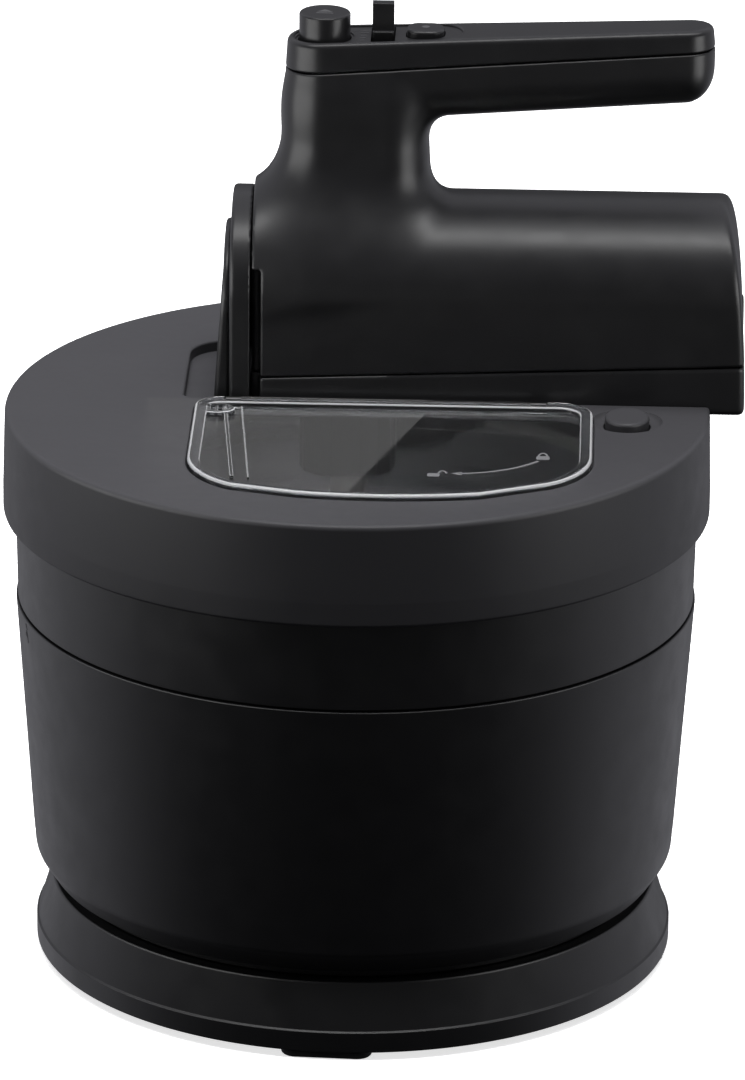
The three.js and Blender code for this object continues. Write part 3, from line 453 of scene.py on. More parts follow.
def surface_net(name, field, grid):
    """Quad mesh of the surface where field(x, y, z) is 0, its points moved onto the surface."""
    value = field(grid[..., 0], grid[..., 1], grid[..., 2])
    counts = value.shape
    inside = value < 0
    cells = tuple(n - 1 for n in counts)
    total = np.zeros((*cells, 3))
    hits = np.zeros(cells)
    crossings = []
    for axis in range(3):
        first = [slice(None)] * 3
        second = [slice(None)] * 3
        first[axis] = slice(None, -1)
        second[axis] = slice(1, None)
        a, b = value[tuple(first)], value[tuple(second)]
        crossed = (a < 0) != (b < 0)
        t = np.where(crossed, a / np.where(crossed, a - b, 1.0), 0.0)
        point = grid[tuple(first)] + t[..., None] * (grid[tuple(second)] - grid[tuple(first)])
        u, v = [i for i in range(3) if i != axis]
        for du in (0, 1):
            for dv in (0, 1):
                part = [slice(None)] * 3
                part[u] = slice(du, du + cells[u])
                part[v] = slice(dv, dv + cells[v])
                mask = crossed[tuple(part)]
                total += point[tuple(part)] * mask[..., None]
                hits += mask
        crossings.append((axis, crossed, inside[tuple(first)]))
    active = hits > 0
    index = -np.ones(cells, int)
    index[active] = np.arange(active.sum())
    points = total[active] / hits[active][:, None]
    faces = []
    for axis, crossed, first_inside in crossings:
        u, v = (axis + 1) % 3, (axis + 2) % 3
        where = np.argwhere(crossed)
        keep = (where[:, u] > 0) & (where[:, v] > 0) & (where[:, u] < cells[u]) & (where[:, v] < cells[v])
        where = where[keep]
        corner = []
        for du, dv in ((-1, -1), (0, -1), (0, 0), (-1, 0)):
            at = where.copy()
            at[:, u] += du
            at[:, v] += dv
            corner.append(index[at[:, 0], at[:, 1], at[:, 2]])
        quads = np.stack(corner, 1)
        flip = ~first_inside[tuple(where.T)]
        quads[flip] = quads[flip][:, ::-1]
        faces.append(quads)
    quads = np.concatenate(faces)

    def at(p):
        return field(p[:, 0], p[:, 1], p[:, 2])

    def gradient(p):
        h = 0.02
        return np.stack([(at(p + d) - at(p - d)) / (2 * h) for d in np.eye(3) * h], 1)

    edges = np.concatenate([quads[:, [i, (i + 1) % 4]] for i in range(4)])
    for turn in range(NET_PASSES):
        if turn < NET_PASSES - 2:
            near = np.zeros_like(points)
            count = np.zeros(len(points))
            for i, j in ((0, 1), (1, 0)):
                np.add.at(near, edges[:, i], points[edges[:, j]])
                np.add.at(count, edges[:, i], 1)
            points += 0.35 * (near / np.maximum(count, 1)[:, None] - points)
        for _ in range(2):
            slope = gradient(points)
            move = at(points) / np.maximum((slope ** 2).sum(1), 1e-4)
            points -= np.clip(move, -1.0, 1.0)[:, None] * slope
    mesh = bpy.data.meshes.new(name)
    mesh.from_pydata((points * MM).tolist(), [], quads.tolist())
    mesh.validate()
    return mesh


def capsule_plan(x, y, start, radius_a, length, radius_b):
    """Distance to a tapered stadium in plan, from a circle at `start` to one `length` further on."""
    px, py = np.abs(y - MIXER_Y), x - start
    b = (radius_a - radius_b) / length
    a = math.sqrt(1 - b * b)
    k = -b * px + a * py
    side = a * px + b * py - radius_a
    near = np.hypot(px, py) - radius_a
    far = np.hypot(px, py - length) - radius_b
    return np.where(k < 0, near, np.where(k > a * length, far, side))


def body_field(x, y, z):
    """The mixer's body: upright sides, arched top, leaning rear end."""
    dy = np.abs(y - MIXER_Y)
    arch = np.where(z > ARCH_Z, np.hypot(dy, z - ARCH_Z) - BODY_HALF, dy - BODY_HALF)
    section = smooth_max(arch, BODY_BOTTOM - z, 2.2)
    height = np.clip((z - BODY_BOTTOM) / (ARCH_Z + BODY_HALF + 2 - BODY_BOTTOM), 0, 0.995)
    rear = x - (BODY_REAR - REAR_BULGE * (1 - np.sqrt(1 - height ** 2)))
    return smooth_max(smooth_max(section, rear * 0.95, 2.4), BODY_FRONT - x, 0.8)


POST_X, POST_R, POST_LENGTH = -14.0, 13.6, 22.6
GRIP_LENGTH, GRIP_END_R = 128.8, 9.5


def grip_field(x, y, z):
    """Post and grip in one: a tapered stadium in plan, with a soft underside and a crisp top."""
    drop = np.maximum(grip_seam(x) - z, 0.0)
    rise = np.maximum(z - grip_seam(x), 0.0)
    beam = capsule_plan(x + 0.02 * rise, y, POST_X, POST_R, GRIP_LENGTH, GRIP_END_R) + 0.08 * rise
    beam = smooth_max(beam, grip_low(x) - z, 15.0)
    post = capsule_plan(x, y, POST_X, POST_R, POST_LENGTH, POST_R) - 0.05 * drop + 1.4 * np.exp(-drop / 9)
    post = smooth_max(post, 250 - z, 2.0)
    both = smooth_min(beam, post, 0.5 + 10.5 * (1 - np.exp(-drop / 16)))
    return smooth_max(both, z - grip_top(x), 2.2)


def housing_field(x, y, z):
    """Body and post, joined by a wide fillet at the front and a tighter one behind the post."""
    blend = np.clip(24.0 - (x + 20) * 0.28, 9.0, 24.0)
    joined_shape = smooth_min(body_field(x, y, z), grip_field(x, y, z), blend)
    return smooth_max(joined_shape, BODY_FRONT - x, 0.8)


WALL, BULKHEAD = 2.4, BODY_FRONT + 6.5


def shell_inside(shape, x):
    """The inside of a shell: the same shape, one wall smaller, behind a front bulkhead."""
    return np.maximum(shape + WALL, BULKHEAD - x)


def vent_field(x, y, z):
    """The upright vent slot at the housing's front edge, on both sides."""
    return np.maximum(np.maximum(np.abs(x - (BODY_FRONT + 1.2)) - 2.2, z - 247), 30 - np.abs(y - MIXER_Y) - 6)


def side_lines():
    """Grid lines across the mixer, closer together where the body's and the grip's walls are."""
    fine, coarse = 0.65, 1.6
    half = steps((0, 8, coarse), (8, 18, fine), (18, 28, coarse), (28, 35, fine))
    return MIXER_Y + np.concatenate([-half[:0:-1], half])


def seam_shares(height):
    """Levels that are close together near both ends, where the seams are."""
    fine, coarse = 0.3, 1.35
    return steps((-1.2, 1.8, fine), (1.8, height - 1.8, coarse), (height - 1.8, height + 1.2, fine)) / height


CORD_Z, CORD_HOLE_R = 224.0, 8.2
BODY_LINES = steps((-41, -32, 0.7), (-32, 128, 1.5), (128, 140, 0.9))


def motor_housing():
    def field(x, y, z):
        shape = housing_field(x, y, z)
        shape = np.maximum(shape, -shell_inside(shape, x))
        shape = smooth_max(shape, cover_seam(x) + SEAM_GAP - z, 0.9)
        shape = smooth_max(shape, z - grip_seam(x) + SEAM_GAP, 0.9)
        cord = np.maximum(np.hypot(y - MIXER_Y, z - CORD_Z) - CORD_HOLE_R, 120 - x)
        shape = smooth_max(shape, -cord, 0.8)
        return smooth_max(shape, -vent_field(x, y, z), 0.8)
    grid = warped_grid(BODY_LINES, side_lines(), seam_shares(107), cover_seam, grip_seam)
    mesh = surface_net("motor_housing", field, grid)
    return skin("motor_housing", mesh, SHELL, "mixer", 50, False)


PANEL_FLOOR = grip_top(0) - 0.9      # floor of the control panel's recess, at x = 0
GRIP_SLOPE = grip_top(1) - grip_top(0)


def tilted(mesh):
    """Leans a mesh so that its level planes follow the slope of the grip's top."""
    for vertex in mesh.vertices:
        vertex.co.z += GRIP_SLOPE * vertex.co.x
    return mesh


GRIP_THROUGH, LID_THROUGH = [(300, 0), (345, 0)], [(190, 0), (205, 0)]


def handle_cover():
    def field(x, y, z):
        shape = smooth_max(grip_field(x, y, z), grip_seam(x) + SEAM_GAP - z, 0.9)
        return np.maximum(shape, -(grip_field(x, y, z) + 2.6))
    xs = steps((-32, 0, 0.8), (0, 112, 1.2), (112, 128, 0.8))
    ys = steps((18.5, 55.5, 0.7))
    shares = steps((-0.12, 0.18, 0.03), (0.18, 0.7, 0.09), (0.7, 1.12, 0.05))
    mesh = surface_net("handle_cover", field, warped_grid(xs, ys, shares, grip_seam, grip_top))
    panel = [*smooth_arc(25, MIXER_Y, 10, 10, -90, 90, 20),
             *smooth_arc(-14.2, MIXER_Y, 10.6, 10.6, 90, 270, 20)]
    turbo = rounded_rect(TURBO_X - 7, MIXER_Y - 6.3, TURBO_X + 7, MIXER_Y + 6.3, 4.8, 8)
    slot_hole = rounded_rect(LEVER_X - 4.3, MIXER_Y - 9.8, LEVER_X + 4.3, MIXER_Y + 9.8, 0.8)
    cutters = [
        slab("panel_cut", panel, lip_rows(PANEL_FLOOR, grip_top(0), 0.7)),
        slab("eject_dish", ellipse(EJECT_X, MIXER_Y, 10.3, 10.1, 72),
             lip_rows(PANEL_FLOOR - 0.7, PANEL_FLOOR, 0.5)),
        slab("eject_hole", ellipse(EJECT_X, MIXER_Y, 9.5, 9.5, 72), GRIP_THROUGH),
        slab("lever_slot", slot_hole, GRIP_THROUGH),
        slab("turbo_hole", turbo, GRIP_THROUGH),
    ]
    mesh = boolean(mesh, [tilted(cutter) for cutter in cutters])
    return skin("handle_cover", mesh, SHELL, "mixer", 40, False)


def spindle_holes():
    """Cutters for the two couplers, through the mixer's floor and the lid."""
    return [slab("spindle_hole", ellipse(SPINDLE_X, MIXER_Y + side * SPINDLE_SPREAD, 9, 9, 48), LID_THROUGH)
            for side in (-1, 1)]


def bottom_cover():
    def field(x, y, z):
        body = body_field(x, y, z)
        shape = smooth_max(body, z - cover_seam(x) + SEAM_GAP, 0.9)
        return np.maximum(smooth_max(shape, -vent_field(x, y, z), 0.8), -shell_inside(body, x))
    shares = steps((-0.12, 0.25, 0.04), (0.25, 0.8, 0.09), (0.8, 1.12, 0.04))
    grid = warped_grid(BODY_LINES, side_lines(), shares, lambda x: BODY_BOTTOM + 0 * x, cover_seam)
    mesh = surface_net("bottom_cover", field, grid)
    pocket = slab("latch_pocket", rounded_rect(86.8, 8.6, 104.4, 17.8, 0.8), [(190, 0), (201, 0)])
    mesh = boolean(mesh, [*spindle_holes(), pocket])
    return skin("bottom_cover", mesh, SHELL, "mixer", 40, False)


def arch_section(y, z, half, centre_z, floor_z):
    dy = np.abs(y - MIXER_Y)
    arch = np.where(z > centre_z, np.hypot(dy, z - centre_z) - half, dy - half)
    return smooth_max(arch, floor_z - z, 2.0)


def front_cap():
    def field(x, y, z):
        outer = arch_section(y, z, BODY_HALF + 0.35, ARCH_Z, BODY_BOTTOM)
        outer = smooth_max(smooth_max(outer, x - (BODY_FRONT - 0.4), 0.7), -46 - x, 1.6)
        hollow = arch_section(y, z, BODY_HALF - 3.2, ARCH_Z, BODY_BOTTOM + 3)
        return np.maximum(outer, -np.maximum(hollow, -43.4 - x))
    grid = warped_grid(steps((-48, -37, 0.7)), side_lines(), steps((0, 1, 0.0145)),
                       lambda x: 194 + 0 * x, lambda x: 271 + 0 * x)
    mesh = surface_net("front_cap", field, grid)
    return skin("front_cap", mesh, SHELL, "mixer", 50, False)


def front_plate():
    def field(x, y, z):
        section = arch_section(y, z, 27.0, 229, BODY_BOTTOM + 0.2)
        face = -48.6 - np.clip((245 - z) * 0.062, 0, 3.4) - x
        return smooth_max(smooth_max(section, face, 1.6), x + 46.2, 0.6)
    grid = warped_grid(steps((-54, -45, 0.7)), steps((7, 67, 1.2)), steps((0, 1, 0.018)),
                       lambda x: 194 + 0 * x, lambda x: 259 + 0 * x)
    mesh = surface_net("front_plate", field, grid)
    return skin("front_plate", mesh, SHELL, "mixer", 50, False)


# ------------------------------------------------------------------ barrel
def foot_ring():
    profile = rounded([
        (FOOT_R, 0, 0.5), (FOOT_R, 7.4, 0.3), (113.7, 7.9, 0.3), (108.6, FOOT_TOP, 1.2),
        (99.6, FOOT_TOP, 0.4), (99.6, FOOT_TOP - 2.6, 0), (105.6, FOOT_TOP - 2.6, 0), (110.6, 6, 0),
        (110.6, 0, 0),
    ], 0.5)
    mesh = lathe("foot_ring", profile)
    return skin("foot_ring", mesh, BARREL_SHELL_PAINTED_SHADE, "base")


def housing_shell():
    profile = rounded([
        (0, 28.8, 0), (101, 28.8, 0), (101, FOOT_TOP + 0.3, 0), (104, FOOT_TOP + 0.3, 0.3), (104, 28.8, 0.5),
        (109.5, 28.8, 1.6), (HOUSING_LOW_R - 0.4, 36.5, 5.0), (HOUSING_LOW_R + 0.5, 47, 4.0),
        (SEAM_R + 0.15, SEAM_Z - 0.5, 0.5), (118.2, SEAM_Z - 0.5, 0.2), (118.2, 137.3, 0.3),
        (116.4, 137.3, 0.3), (116.4, SEAM_Z - 4, 0.5), (112, HOUSING_LOW_Z + 1, 1.0), (109, 32, 1.0),
        (0, 32, 0),
    ], 0.5, closed=False)
    mesh = lathe("housing_shell", profile)
    return skin("housing_shell", mesh, BARREL_SHELL_PAINTED_SHADE, "base")


def lid_collar():
    profile = rounded([
        (119.7, SEAM_Z + 0.2, 0.2), (SEAM_R - 0.5, SEAM_Z + 0.2, 0.4), (121.3, SKIRT_BOTTOM + 0.5, 0),
        (121.7, 186, 0), (119.4, 186, 0), (119.4, 144, 0), (114.6, 144, 0.4), (114.6, SEAM_Z + 9, 0.4),
        (119.7, SEAM_Z + 9, 0),
    ], 0.4)
    mesh = lathe("lid_collar", profile)
    return skin("lid_collar", mesh, BARREL_SHELL_PAINTED_SHADE, "lid")


def door_outline():
    """The D-shaped feed opening: straight at the back, bowed at the front."""
    left, right, back, front = -57.4, 83.6, 2.4, -98.4
    return [
        *smooth_arc(right - 12, back - 12, 12, 12, 0, 90, 10),
        *smooth_arc(left + 9, back - 9, 9, 9, 90, 180, 8),
        *smooth_arc(left + 32, -60, 32, 34, 180, 240, 14),
        *smooth_arc(9, front + 175, 175, 175, 261.0, 282.0, 14),
        *smooth_arc(right - 30, -55, 30, 33, 300, 360, 14),
    ]


def recess_outline():
    """The tray that the mixer lies in, open at the right."""
    left, front, back = -62.0, 5.4, 69.2
    return [
        (left + 3, front), (140, front), (140, back), *smooth_arc(left + 14, back - 14, 14, 14, 90, 180, 12),
        (left, front + 3),
    ]


BUTTON_AT = (95.6, -11.6)
HINGE_EARS = ((-47, -41.6), (61.6, 67))


def lid_cover():
    shell = lathe("lid_cover", rounded([
        (0, 197, 0), (122, 197, 0.6), (122, SKIRT_BOTTOM, 0.4), (SKIRT_R, SKIRT_BOTTOM, 1.3),
        (SKIRT_R, 172, 8), (LID_R, LID_TOP, 2.1), (0, LID_TOP, 0),
    ], 0.5, 6, closed=False))
    frame_ring = slab("feed_frame", offset_outline(door_outline(), 3), [(194.6, 0), (199, 0)])
    tray = slab("recess_tray", offset_outline(recess_outline(), 2.4), [(193.2, 0), (199, 0)])
    trim = lathe("tray_trim", [(0, 190), (123.4, 190), (123.4, 205), (0, 205)], 256)
    tray = boolean(tray, [trim], "INTERSECT")
    well = slab("button_well", ellipse(*BUTTON_AT, 14, 15.5), [(194.6, 0), (199, 0)])
    solid = boolean(shell, [frame_ring, tray, well], "UNION")
    door = door_outline()
    cutters = [
        slab("cut_recess", recess_outline(), lip_rows(RECESS_FLOOR, LID_TOP, 0.9)),
        slab("cut_seat", offset_outline(door, 0.45), lip_rows(197.4, LID_TOP, 0.7)),
        slab("cut_opening", offset_outline(door, -4), LID_THROUGH),
        slab("cut_dish", ellipse(*BUTTON_AT, 12.6, 12.4), [(LID_TOP - 2.0, -4.0), (LID_TOP - 1.9, -3.0),
             (LID_TOP - 1.5, -1.6), (LID_TOP - 0.9, -0.6), (LID_TOP, -0.05), (LID_TOP + 0.6, 0.1)]),
        slab("cut_button", ellipse(*BUTTON_AT, 8.4, 9.9), LID_THROUGH),
        slab("cut_latch", [(89.5, 7.6), (101.7, 7.6), (101.7, 16.6), (89.5, 16.6)], LID_THROUGH),
    ]
    mesh = boolean(solid, [*cutters, *spindle_holes()])
    return skin("lid_cover", mesh, LID_SHELL_PAINTED_LIGHT, "lid")


DOOR_FLOOR, DOOR_TOP = 199.7, 202.2


def door_rib(x0, x1, width, low, high):
    """A moulded rib across the door's floor, from its back lip to its front lip."""
    outline = [(x0, -4.0), (x0 + width, -4.0), (x1 + width, -78.0), (x1, -78.0)]
    return slab("door_rib", outline, crown_rows(low, high, 0.3, 3))


def finger_tab():
    """Finger tab: a low crescent wall with three ribs across it."""
    centre = (-49.6, -8.8)
    outer = slab("finger_tab", ellipse(*centre, 6.6, 5.0, 48), crown_rows(199.4, 201.6, 0.5, 4))
    inner = slab("tab_hollow", ellipse(*centre, 5.2, 3.6, 48), [(200.1, 0), (205, 0)])
    tab = boolean(outer, [inner])
    ribs = [slab("tab_rib", rounded_rect(centre[0] + x - 0.5, centre[1] - 3.6, centre[0] + x + 0.5,
                                         centre[1] + 3.6, 0.4), crown_rows(199.8, 201.2, 0.3, 3))
            for x in (-2.6, 0.0, 2.6)]
    return boolean(tab, ribs, "UNION")


def feed_door():
    outline = door_outline()
    plate = slab("feed_door", outline, crown_rows(197.75, DOOR_TOP, 1.3, 6, 0.4))
    cutters = [
        slab("door_hollow", offset_outline(outline, -4.6), lip_rows(DOOR_FLOOR, DOOR_TOP - 0.5, 1.1)),
        slab("door_step", offset_outline(outline, -2.2), [(DOOR_TOP - 0.7, 0), (206, 0.2)]),
    ]
    plate = boolean(plate, cutters)
    low = DOOR_FLOOR - 0.4
    ribs = [door_rib(-47.5, -41.7, 1.3, low, 201.0), door_rib(-41.2, -35.6, 0.6, low, 200.6)]
    plate = boolean(plate, [*ribs, finger_tab()], "UNION")
    ears = [slab("door_notch", [(a - 0.4, -0.8), (b + 0.4, -0.8), (b + 0.4, 10), (a - 0.4, 10)],
                 [(190, 0), (210, 0)]) for a, b in HINGE_EARS]
    mesh = boolean(plate, ears)
    skin("feed_door", mesh, CLEAR, "door")
    # The lip faces that face partly upwards take the less clear copy: a painted highlight along the door's
    # lips.
    mesh.materials.append(CLEAR_EDGE_PAINTED_HIGHLIGHT)
    for face in mesh.polygons:
        painted_highlight_face = 0.2 < face.normal.z < 0.94 and face.center.z > (DOOR_FLOOR + 0.2) * MM
        face.material_index = 1 if painted_highlight_face else 0


def padlock(cx, cy, size, opened):
    """Outline parts of a plain padlock pictogram, flat on the door: body and shackle."""
    body = rounded_rect(cx - size, cy - size * 0.9, cx + size, cy + size * 0.7, size * 0.3, 3)
    shift = size * 1.5 if opened else 0
    top = cy + size * 0.7
    outer = smooth_arc(cx + shift, top, size * 0.8, size * 1.5, 0, 180, 12)
    inner = smooth_arc(cx + shift, top, size * 0.5, size * 1.1, 180, 0, 12)
    return [body, [*outer, *inner]]


def door_marks():
    """Raised marks on the door's floor: an arc with an arrowhead between two padlocks."""
    centre, radius = (34.4, -29.8), 39.7
    arc_line = smooth_arc(*centre, radius, radius, 275, 321, 46)
    back_line = smooth_arc(*centre, radius - 1.1, radius - 1.1, 321, 275, 46)
    tip = arc_line[0]
    arrow = [(tip[0] - 2.9, tip[1] + 0.4), (tip[0] + 0.6, tip[1] - 1.4), (tip[0] + 0.6, tip[1] + 2.4)]
    shapes = [[*arc_line, *back_line], arrow,
              *padlock(28.6, -70.5, 2.1, True), *padlock(66.4, -51.0, 2.3, False)]
    parts = [slab("door_mark", shape, [(DOOR_FLOOR + 0.02, 0), (DOOR_FLOOR + 0.3, 0)]) for shape in shapes]
    return mark("door_marks", parts, MARK, "door")


def release_button():
    mesh = slab("release_button", ellipse(*BUTTON_AT, 7.9, 9.4), crown_rows(194.9, 202.3, 1.3))
    return skin("release_button", mesh, LID_SHELL_PAINTED_LIGHT, "release_button")


def eject_button():
    outline = ellipse(EJECT_X, MIXER_Y, 9.1, 9.1, 96)
    mesh = slab("eject_button", outline, crown_rows(321.5, EJECT_TOP, 0.9))
    return skin("eject_button", mesh, SHELL, "eject")


def rounded_rect(x0, y0, x1, y1, radius, steps=6):
    return [
        *smooth_arc(x1 - radius, y1 - radius, radius, radius, 0, 90, steps),
        *smooth_arc(x0 + radius, y1 - radius, radius, radius, 90, 180, steps),
        *smooth_arc(x0 + radius, y0 + radius, radius, radius, 180, 270, steps),
        *smooth_arc(x1 - radius, y0 + radius, radius, radius, 270, 360, steps),
    ]


def turbo_button():
    outline = rounded_rect(TURBO_X - 6.6, MIXER_Y - 5.9, TURBO_X + 6.6, MIXER_Y + 5.9, 4.4, 10)
    mesh = slab("turbo_button", outline, crown_rows(322, TURBO_TOP, 1.2))
    return skin("turbo_button", mesh, SHELL, "turbo")


def speed_lever():
    plan = rounded_rect(LEVER_X - 3.8, MIXER_Y - 3.4, LEVER_X + 3.8, MIXER_Y + 3.4, 0.8)
    foot = slab("speed_lever", plan, crown_rows(320.6, 328.4, 0.7))
    side = rounded([(MIXER_Y - 1.4, 327.5, 0), (MIXER_Y + 3.2, 327.5, 0), (MIXER_Y + 2.6, 337.6, 1.2),
                    (MIXER_Y + 0.4, 338.9, 1.0), (MIXER_Y - 1.6, 338.1, 0.6)], 0.5)
    blade = loft("lever_blade", [[(LEVER_X + x, y, z) for y, z in side] for x in (-3.8, 3.8)])
    mesh = boolean(foot, [blade], "UNION")
    return skin("speed_lever", mesh, DARK, "speed")


motor_housing()
handle_cover()
bottom_cover()
front_cap()
front_plate()
foot_ring()
housing_shell()
lid_collar()
lid_cover()
feed_door()
door_marks()
release_button()
eject_button()
turbo_button()
speed_lever()


# ------------------------------------------------------------------ bowl, beaters, feet and small parts
def turned_piece(name, profile, material, body, segments=192, radius=0.4):
    """A turned part that replaces the node it is named after."""
    mesh = lathe(name, rounded(profile, radius, closed=profile[0][0] > 0), segments)
    return skin(name, mesh, material, body)


BOWL_RIM_Z, BOWL_RIM_R, BOWL_WALL = 160.0, 112.0, 1.4


def bowl_skin(wall):
    """One face of the bowl: flat floor, round corner, then the wall up to the rim."""
    corner = smooth_arc(64, 78.4, 40 - wall, 40 - wall, 270, 360, 24)
    return [(0, 38.4 + wall, 0), *[(radius, height, 0) for radius, height in corner]]


def bowl():
    outer = [*bowl_skin(0), (109, BOWL_RIM_Z - 1.8, 0.5)]
    rim = [(BOWL_RIM_R, BOWL_RIM_Z - 1.8, 0.4), (BOWL_RIM_R, BOWL_RIM_Z, 0.6), (107.6, BOWL_RIM_Z, 0.6)]
    turned_piece("bowl", [*outer, *rim, *bowl_skin(BOWL_WALL)[::-1]], STEEL, "bowl", segments=256)


def barrel_inside():
    turned_piece("bowl_drive_ring", [(99, 160.3), (112, 160.3), (112, 166.3), (99, 166.3)],
                 NYLON, "bowl", segments=256, radius=0.8)
    turned_piece("turntable", [(6.3, 34), (66, 34), (66, 37.4), (12, 37.4), (12, 38), (6.3, 38)],
                 DARK, "bowl", radius=0.3)
    turned_piece("lid_gasket", [(115, 137.6), (118.2, 137.6), (118.2, 139.6), (115, 139.6)],
                 RUBBER, "gasket", segments=256, radius=0.7)


SCREWS = (1, 2, 3)


def screw_at(number):
    """Plan position of a base screw in the frame."""
    low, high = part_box(f"base_screw_{number}")
    middle = (low + high) / 2 / MM
    return middle.x, middle.y


def base_plate():
    plate = lathe("base_plate", rounded([
        (0, 0, 0), (110.3, 0, 0.5), (110.3, 3, 0.4), (99.2, 3, 0.3), (99.2, 24.2, 0.4), (92, 24.2, 0.4),
        (92, 3, 0.3), (0, 3, 0)], 0.4, closed=False), 256)
    holes = []
    for x, y in map(screw_at, SCREWS):
        for radius, top in ((2.1, 30), (3.9, 2.6)):
            holes.append(slab("screw_hole", ellipse(x, y, radius, radius, 32), [(-2, 0), (top, 0)]))
    ribs = lathe("base_groove", [(104, -1), (105.4, -1), (105.4, 0.7), (104, 0.7)], 256)
    mesh = boolean(plate, [*holes, ribs])
    return skin("base_plate", mesh, DARK, "base")


def base_screws():
    """Countersunk screws with a cross slot, driven in from below."""
    profile = rounded([(0, 0.3, 0), (3.0, 0.3, 0.8), (3.5, 1.2, 0.3), (3.5, 2.3, 0.2), (1.7, 2.4, 0),
                       (1.7, 30.7, 0.5), (0, 30.7, 0)], 0.3, closed=False)
    for number in SCREWS:
        x, y = screw_at(number)
        slots = [slab("driver_slot", rounded_rect(x - a, y - b, x + a, y + b, 0.3), [(-1, 0), (1.4, -0.1)])
                 for a, b in ((1.9, 0.5), (0.5, 1.9))]
        mesh = boolean(lathe("base_screw", profile, 48, (x, y)), slots)
        skin(f"base_screw_{number}", mesh, STEEL, "base")


def rubber_feet():
    for number in (1, 2, 3, 4):
        angle = math.radians(-3 + 90 * (number - 1))
        outline = [(math.cos(angle) * x - math.sin(angle) * y, math.sin(angle) * x + math.cos(angle) * y)
                   for x, y in rounded_rect(-16, -113, 16, -101, 5.4, 10)]
        mesh = slab("rubber_foot", outline, crown_rows(-3.0, -0.3, 0.2, 3, 0.9))
        skin(f"rubber_foot_{number}", mesh, RUBBER, "base")


BEATER_REACH, BEATER_BOW, BEATER_MIDDLE = 20, 43, 99


def beater_wire(spin):
    """One bowed wire of a beater, half an ellipse from hub to hub, in the upright plane at the angle spin."""
    section = rounded_rect(-1.0, -2.0, 1.0, 2.0, 0.7, 4)
    rings = []
    for a in np.radians(np.linspace(-78, 78, 41)):
        out = np.array([BEATER_BOW * math.cos(a), BEATER_REACH * math.sin(a)])
        out /= np.linalg.norm(out)
        ring = []
        for u, v in section:
            reach = BEATER_REACH * math.cos(a) + u * out[0]
            height = BEATER_MIDDLE + BEATER_BOW * math.sin(a) + u * out[1]
            ring.append((reach * math.cos(spin) - v * math.sin(spin),
                         reach * math.sin(spin) + v * math.cos(spin), height))
        rings.append(ring)
    return loft("wire", rings)


def beater(y, turn):
    """Stem with a hub at each end, and four flat bowed wires with rounded edges."""
    stem = rounded([(0, 136, 0), (2.9, 136, 0), (2.9, 169.6, 0.6), (0, 169.6, 0)], 0.4, closed=False)
    hub = rounded([(0, 135, 0), (6, 136, 0.8), (6, 146, 1.2), (0, 147, 0)], 0.8, closed=False)
    foot = rounded([(0, 52, 0), (6.2, 52, 1.8), (6.2, 60, 1.2), (0, 61, 0)], 0.8, closed=False)
    solids = [lathe("top_hub", hub, 64), lathe("foot_hub", foot, 64)]
    solids += [beater_wire(math.radians(turn + 90 * quarter)) for quarter in range(4)]
    mesh = boolean(lathe("stem", stem, 48), solids, "UNION")
    mesh.transform(Matrix.Translation((SPINDLE_X * MM, y * MM, 0)))
    return mesh


def drives():
    """Nylon couplers in the lid, each with a beater in its foot."""
    coupler = [(0, 172, 0), (3.2, 170, 0.3), (3.2, 150), (6.2, 150), (6.2, 172.9), (3, 174.4), (3, 184.6),
               (8, 184.8), (8, 188.4), (6, 188.6), (6, 197.4), (2.2, 199.4), (2.2, 213.2), (0, 214, 0)]
    for side, name, turn in ((-1, "near", 0), (1, "far", 45)):
        y = MIXER_Y + side * SPINDLE_SPREAD
        mesh = lathe("coupler", rounded(coupler, 0.3, closed=False), 64, (SPINDLE_X, y))
        skin(f"{name}_coupler", mesh, NYLON, name + "_drive")
        skin(f"{name}_beater", beater(y, turn), STEEL, name + "_drive", 40)


def cord_inlet():
    """Rubber bush round the cord's hole, with a rounded collar and a groove."""
    profile = rounded([(3.6, 125.2), (7.8, 125.2), (7.8, 130), (7.2, 130.6), (7.8, 131.4), (7.8, 136.6, 1.4),
                       (3.6, 136.6, 1.2)], 0.4)
    mesh = lathe("cord_inlet", profile, 96)
    mesh.transform(Matrix(((0, 0, 1, 0), (1, 0, 0, MIXER_Y * MM), (0, 1, 0, CORD_Z * MM), (0, 0, 0, 1))))
    return skin("cord_inlet", mesh, RUBBER, "mixer")


bowl()
barrel_inside()
base_plate()
base_screws()
rubber_feet()
drives()
cord_inlet()


# ------------------------------------------------------------------ moulded marks
BARREL_MARK_R, BARREL_LEAN = 120.9, 0.069


def wrapped(mesh, angle, height):
    """Bends a flat mark, drawn in the x-y plane round the origin, onto the barrel's side."""
    for vertex in mesh.vertices:
        across, up, out = vertex.co / MM
        radius = BARREL_MARK_R + BARREL_LEAN * up + out
        turn = angle + across / BARREL_MARK_R
        vertex.co = Vector((radius * math.cos(turn), radius * math.sin(turn), height + up)) * MM
    return mesh


def barrel_mark():
    """A small pointer over a padlock, moulded on the barrel below the seam."""
    shapes = [[(-1.4, 1.7), (1.4, 1.7), (0, 3.6)], *padlock(0, -2.2, 1.5, False)]
    rows = [(-0.4, 0), (0.12, 0)]
    parts = [wrapped(slab("barrel_mark", shape, rows), math.radians(197.5), 125.3) for shape in shapes]
    return mark("barrel_mark", parts, DARK, "base")


def panel_marks():
    """Plain tick marks beside the speed lever, one for each setting."""
    shapes = [rounded_rect(-1.4, MIXER_Y + y - 0.25, 0.4 + 0.5 * i, MIXER_Y + y + 0.25, 0.2, 2)
              for i, y in enumerate((-6, -3, 0, 3, 6))]
    rows = [(PANEL_FLOOR - 0.05, 0), (PANEL_FLOOR + 0.08, 0)]
    parts = [tilted(slab("panel_mark", shape, rows)) for shape in shapes]
    return mark("panel_marks", parts, FAINT_MARK, "mixer")


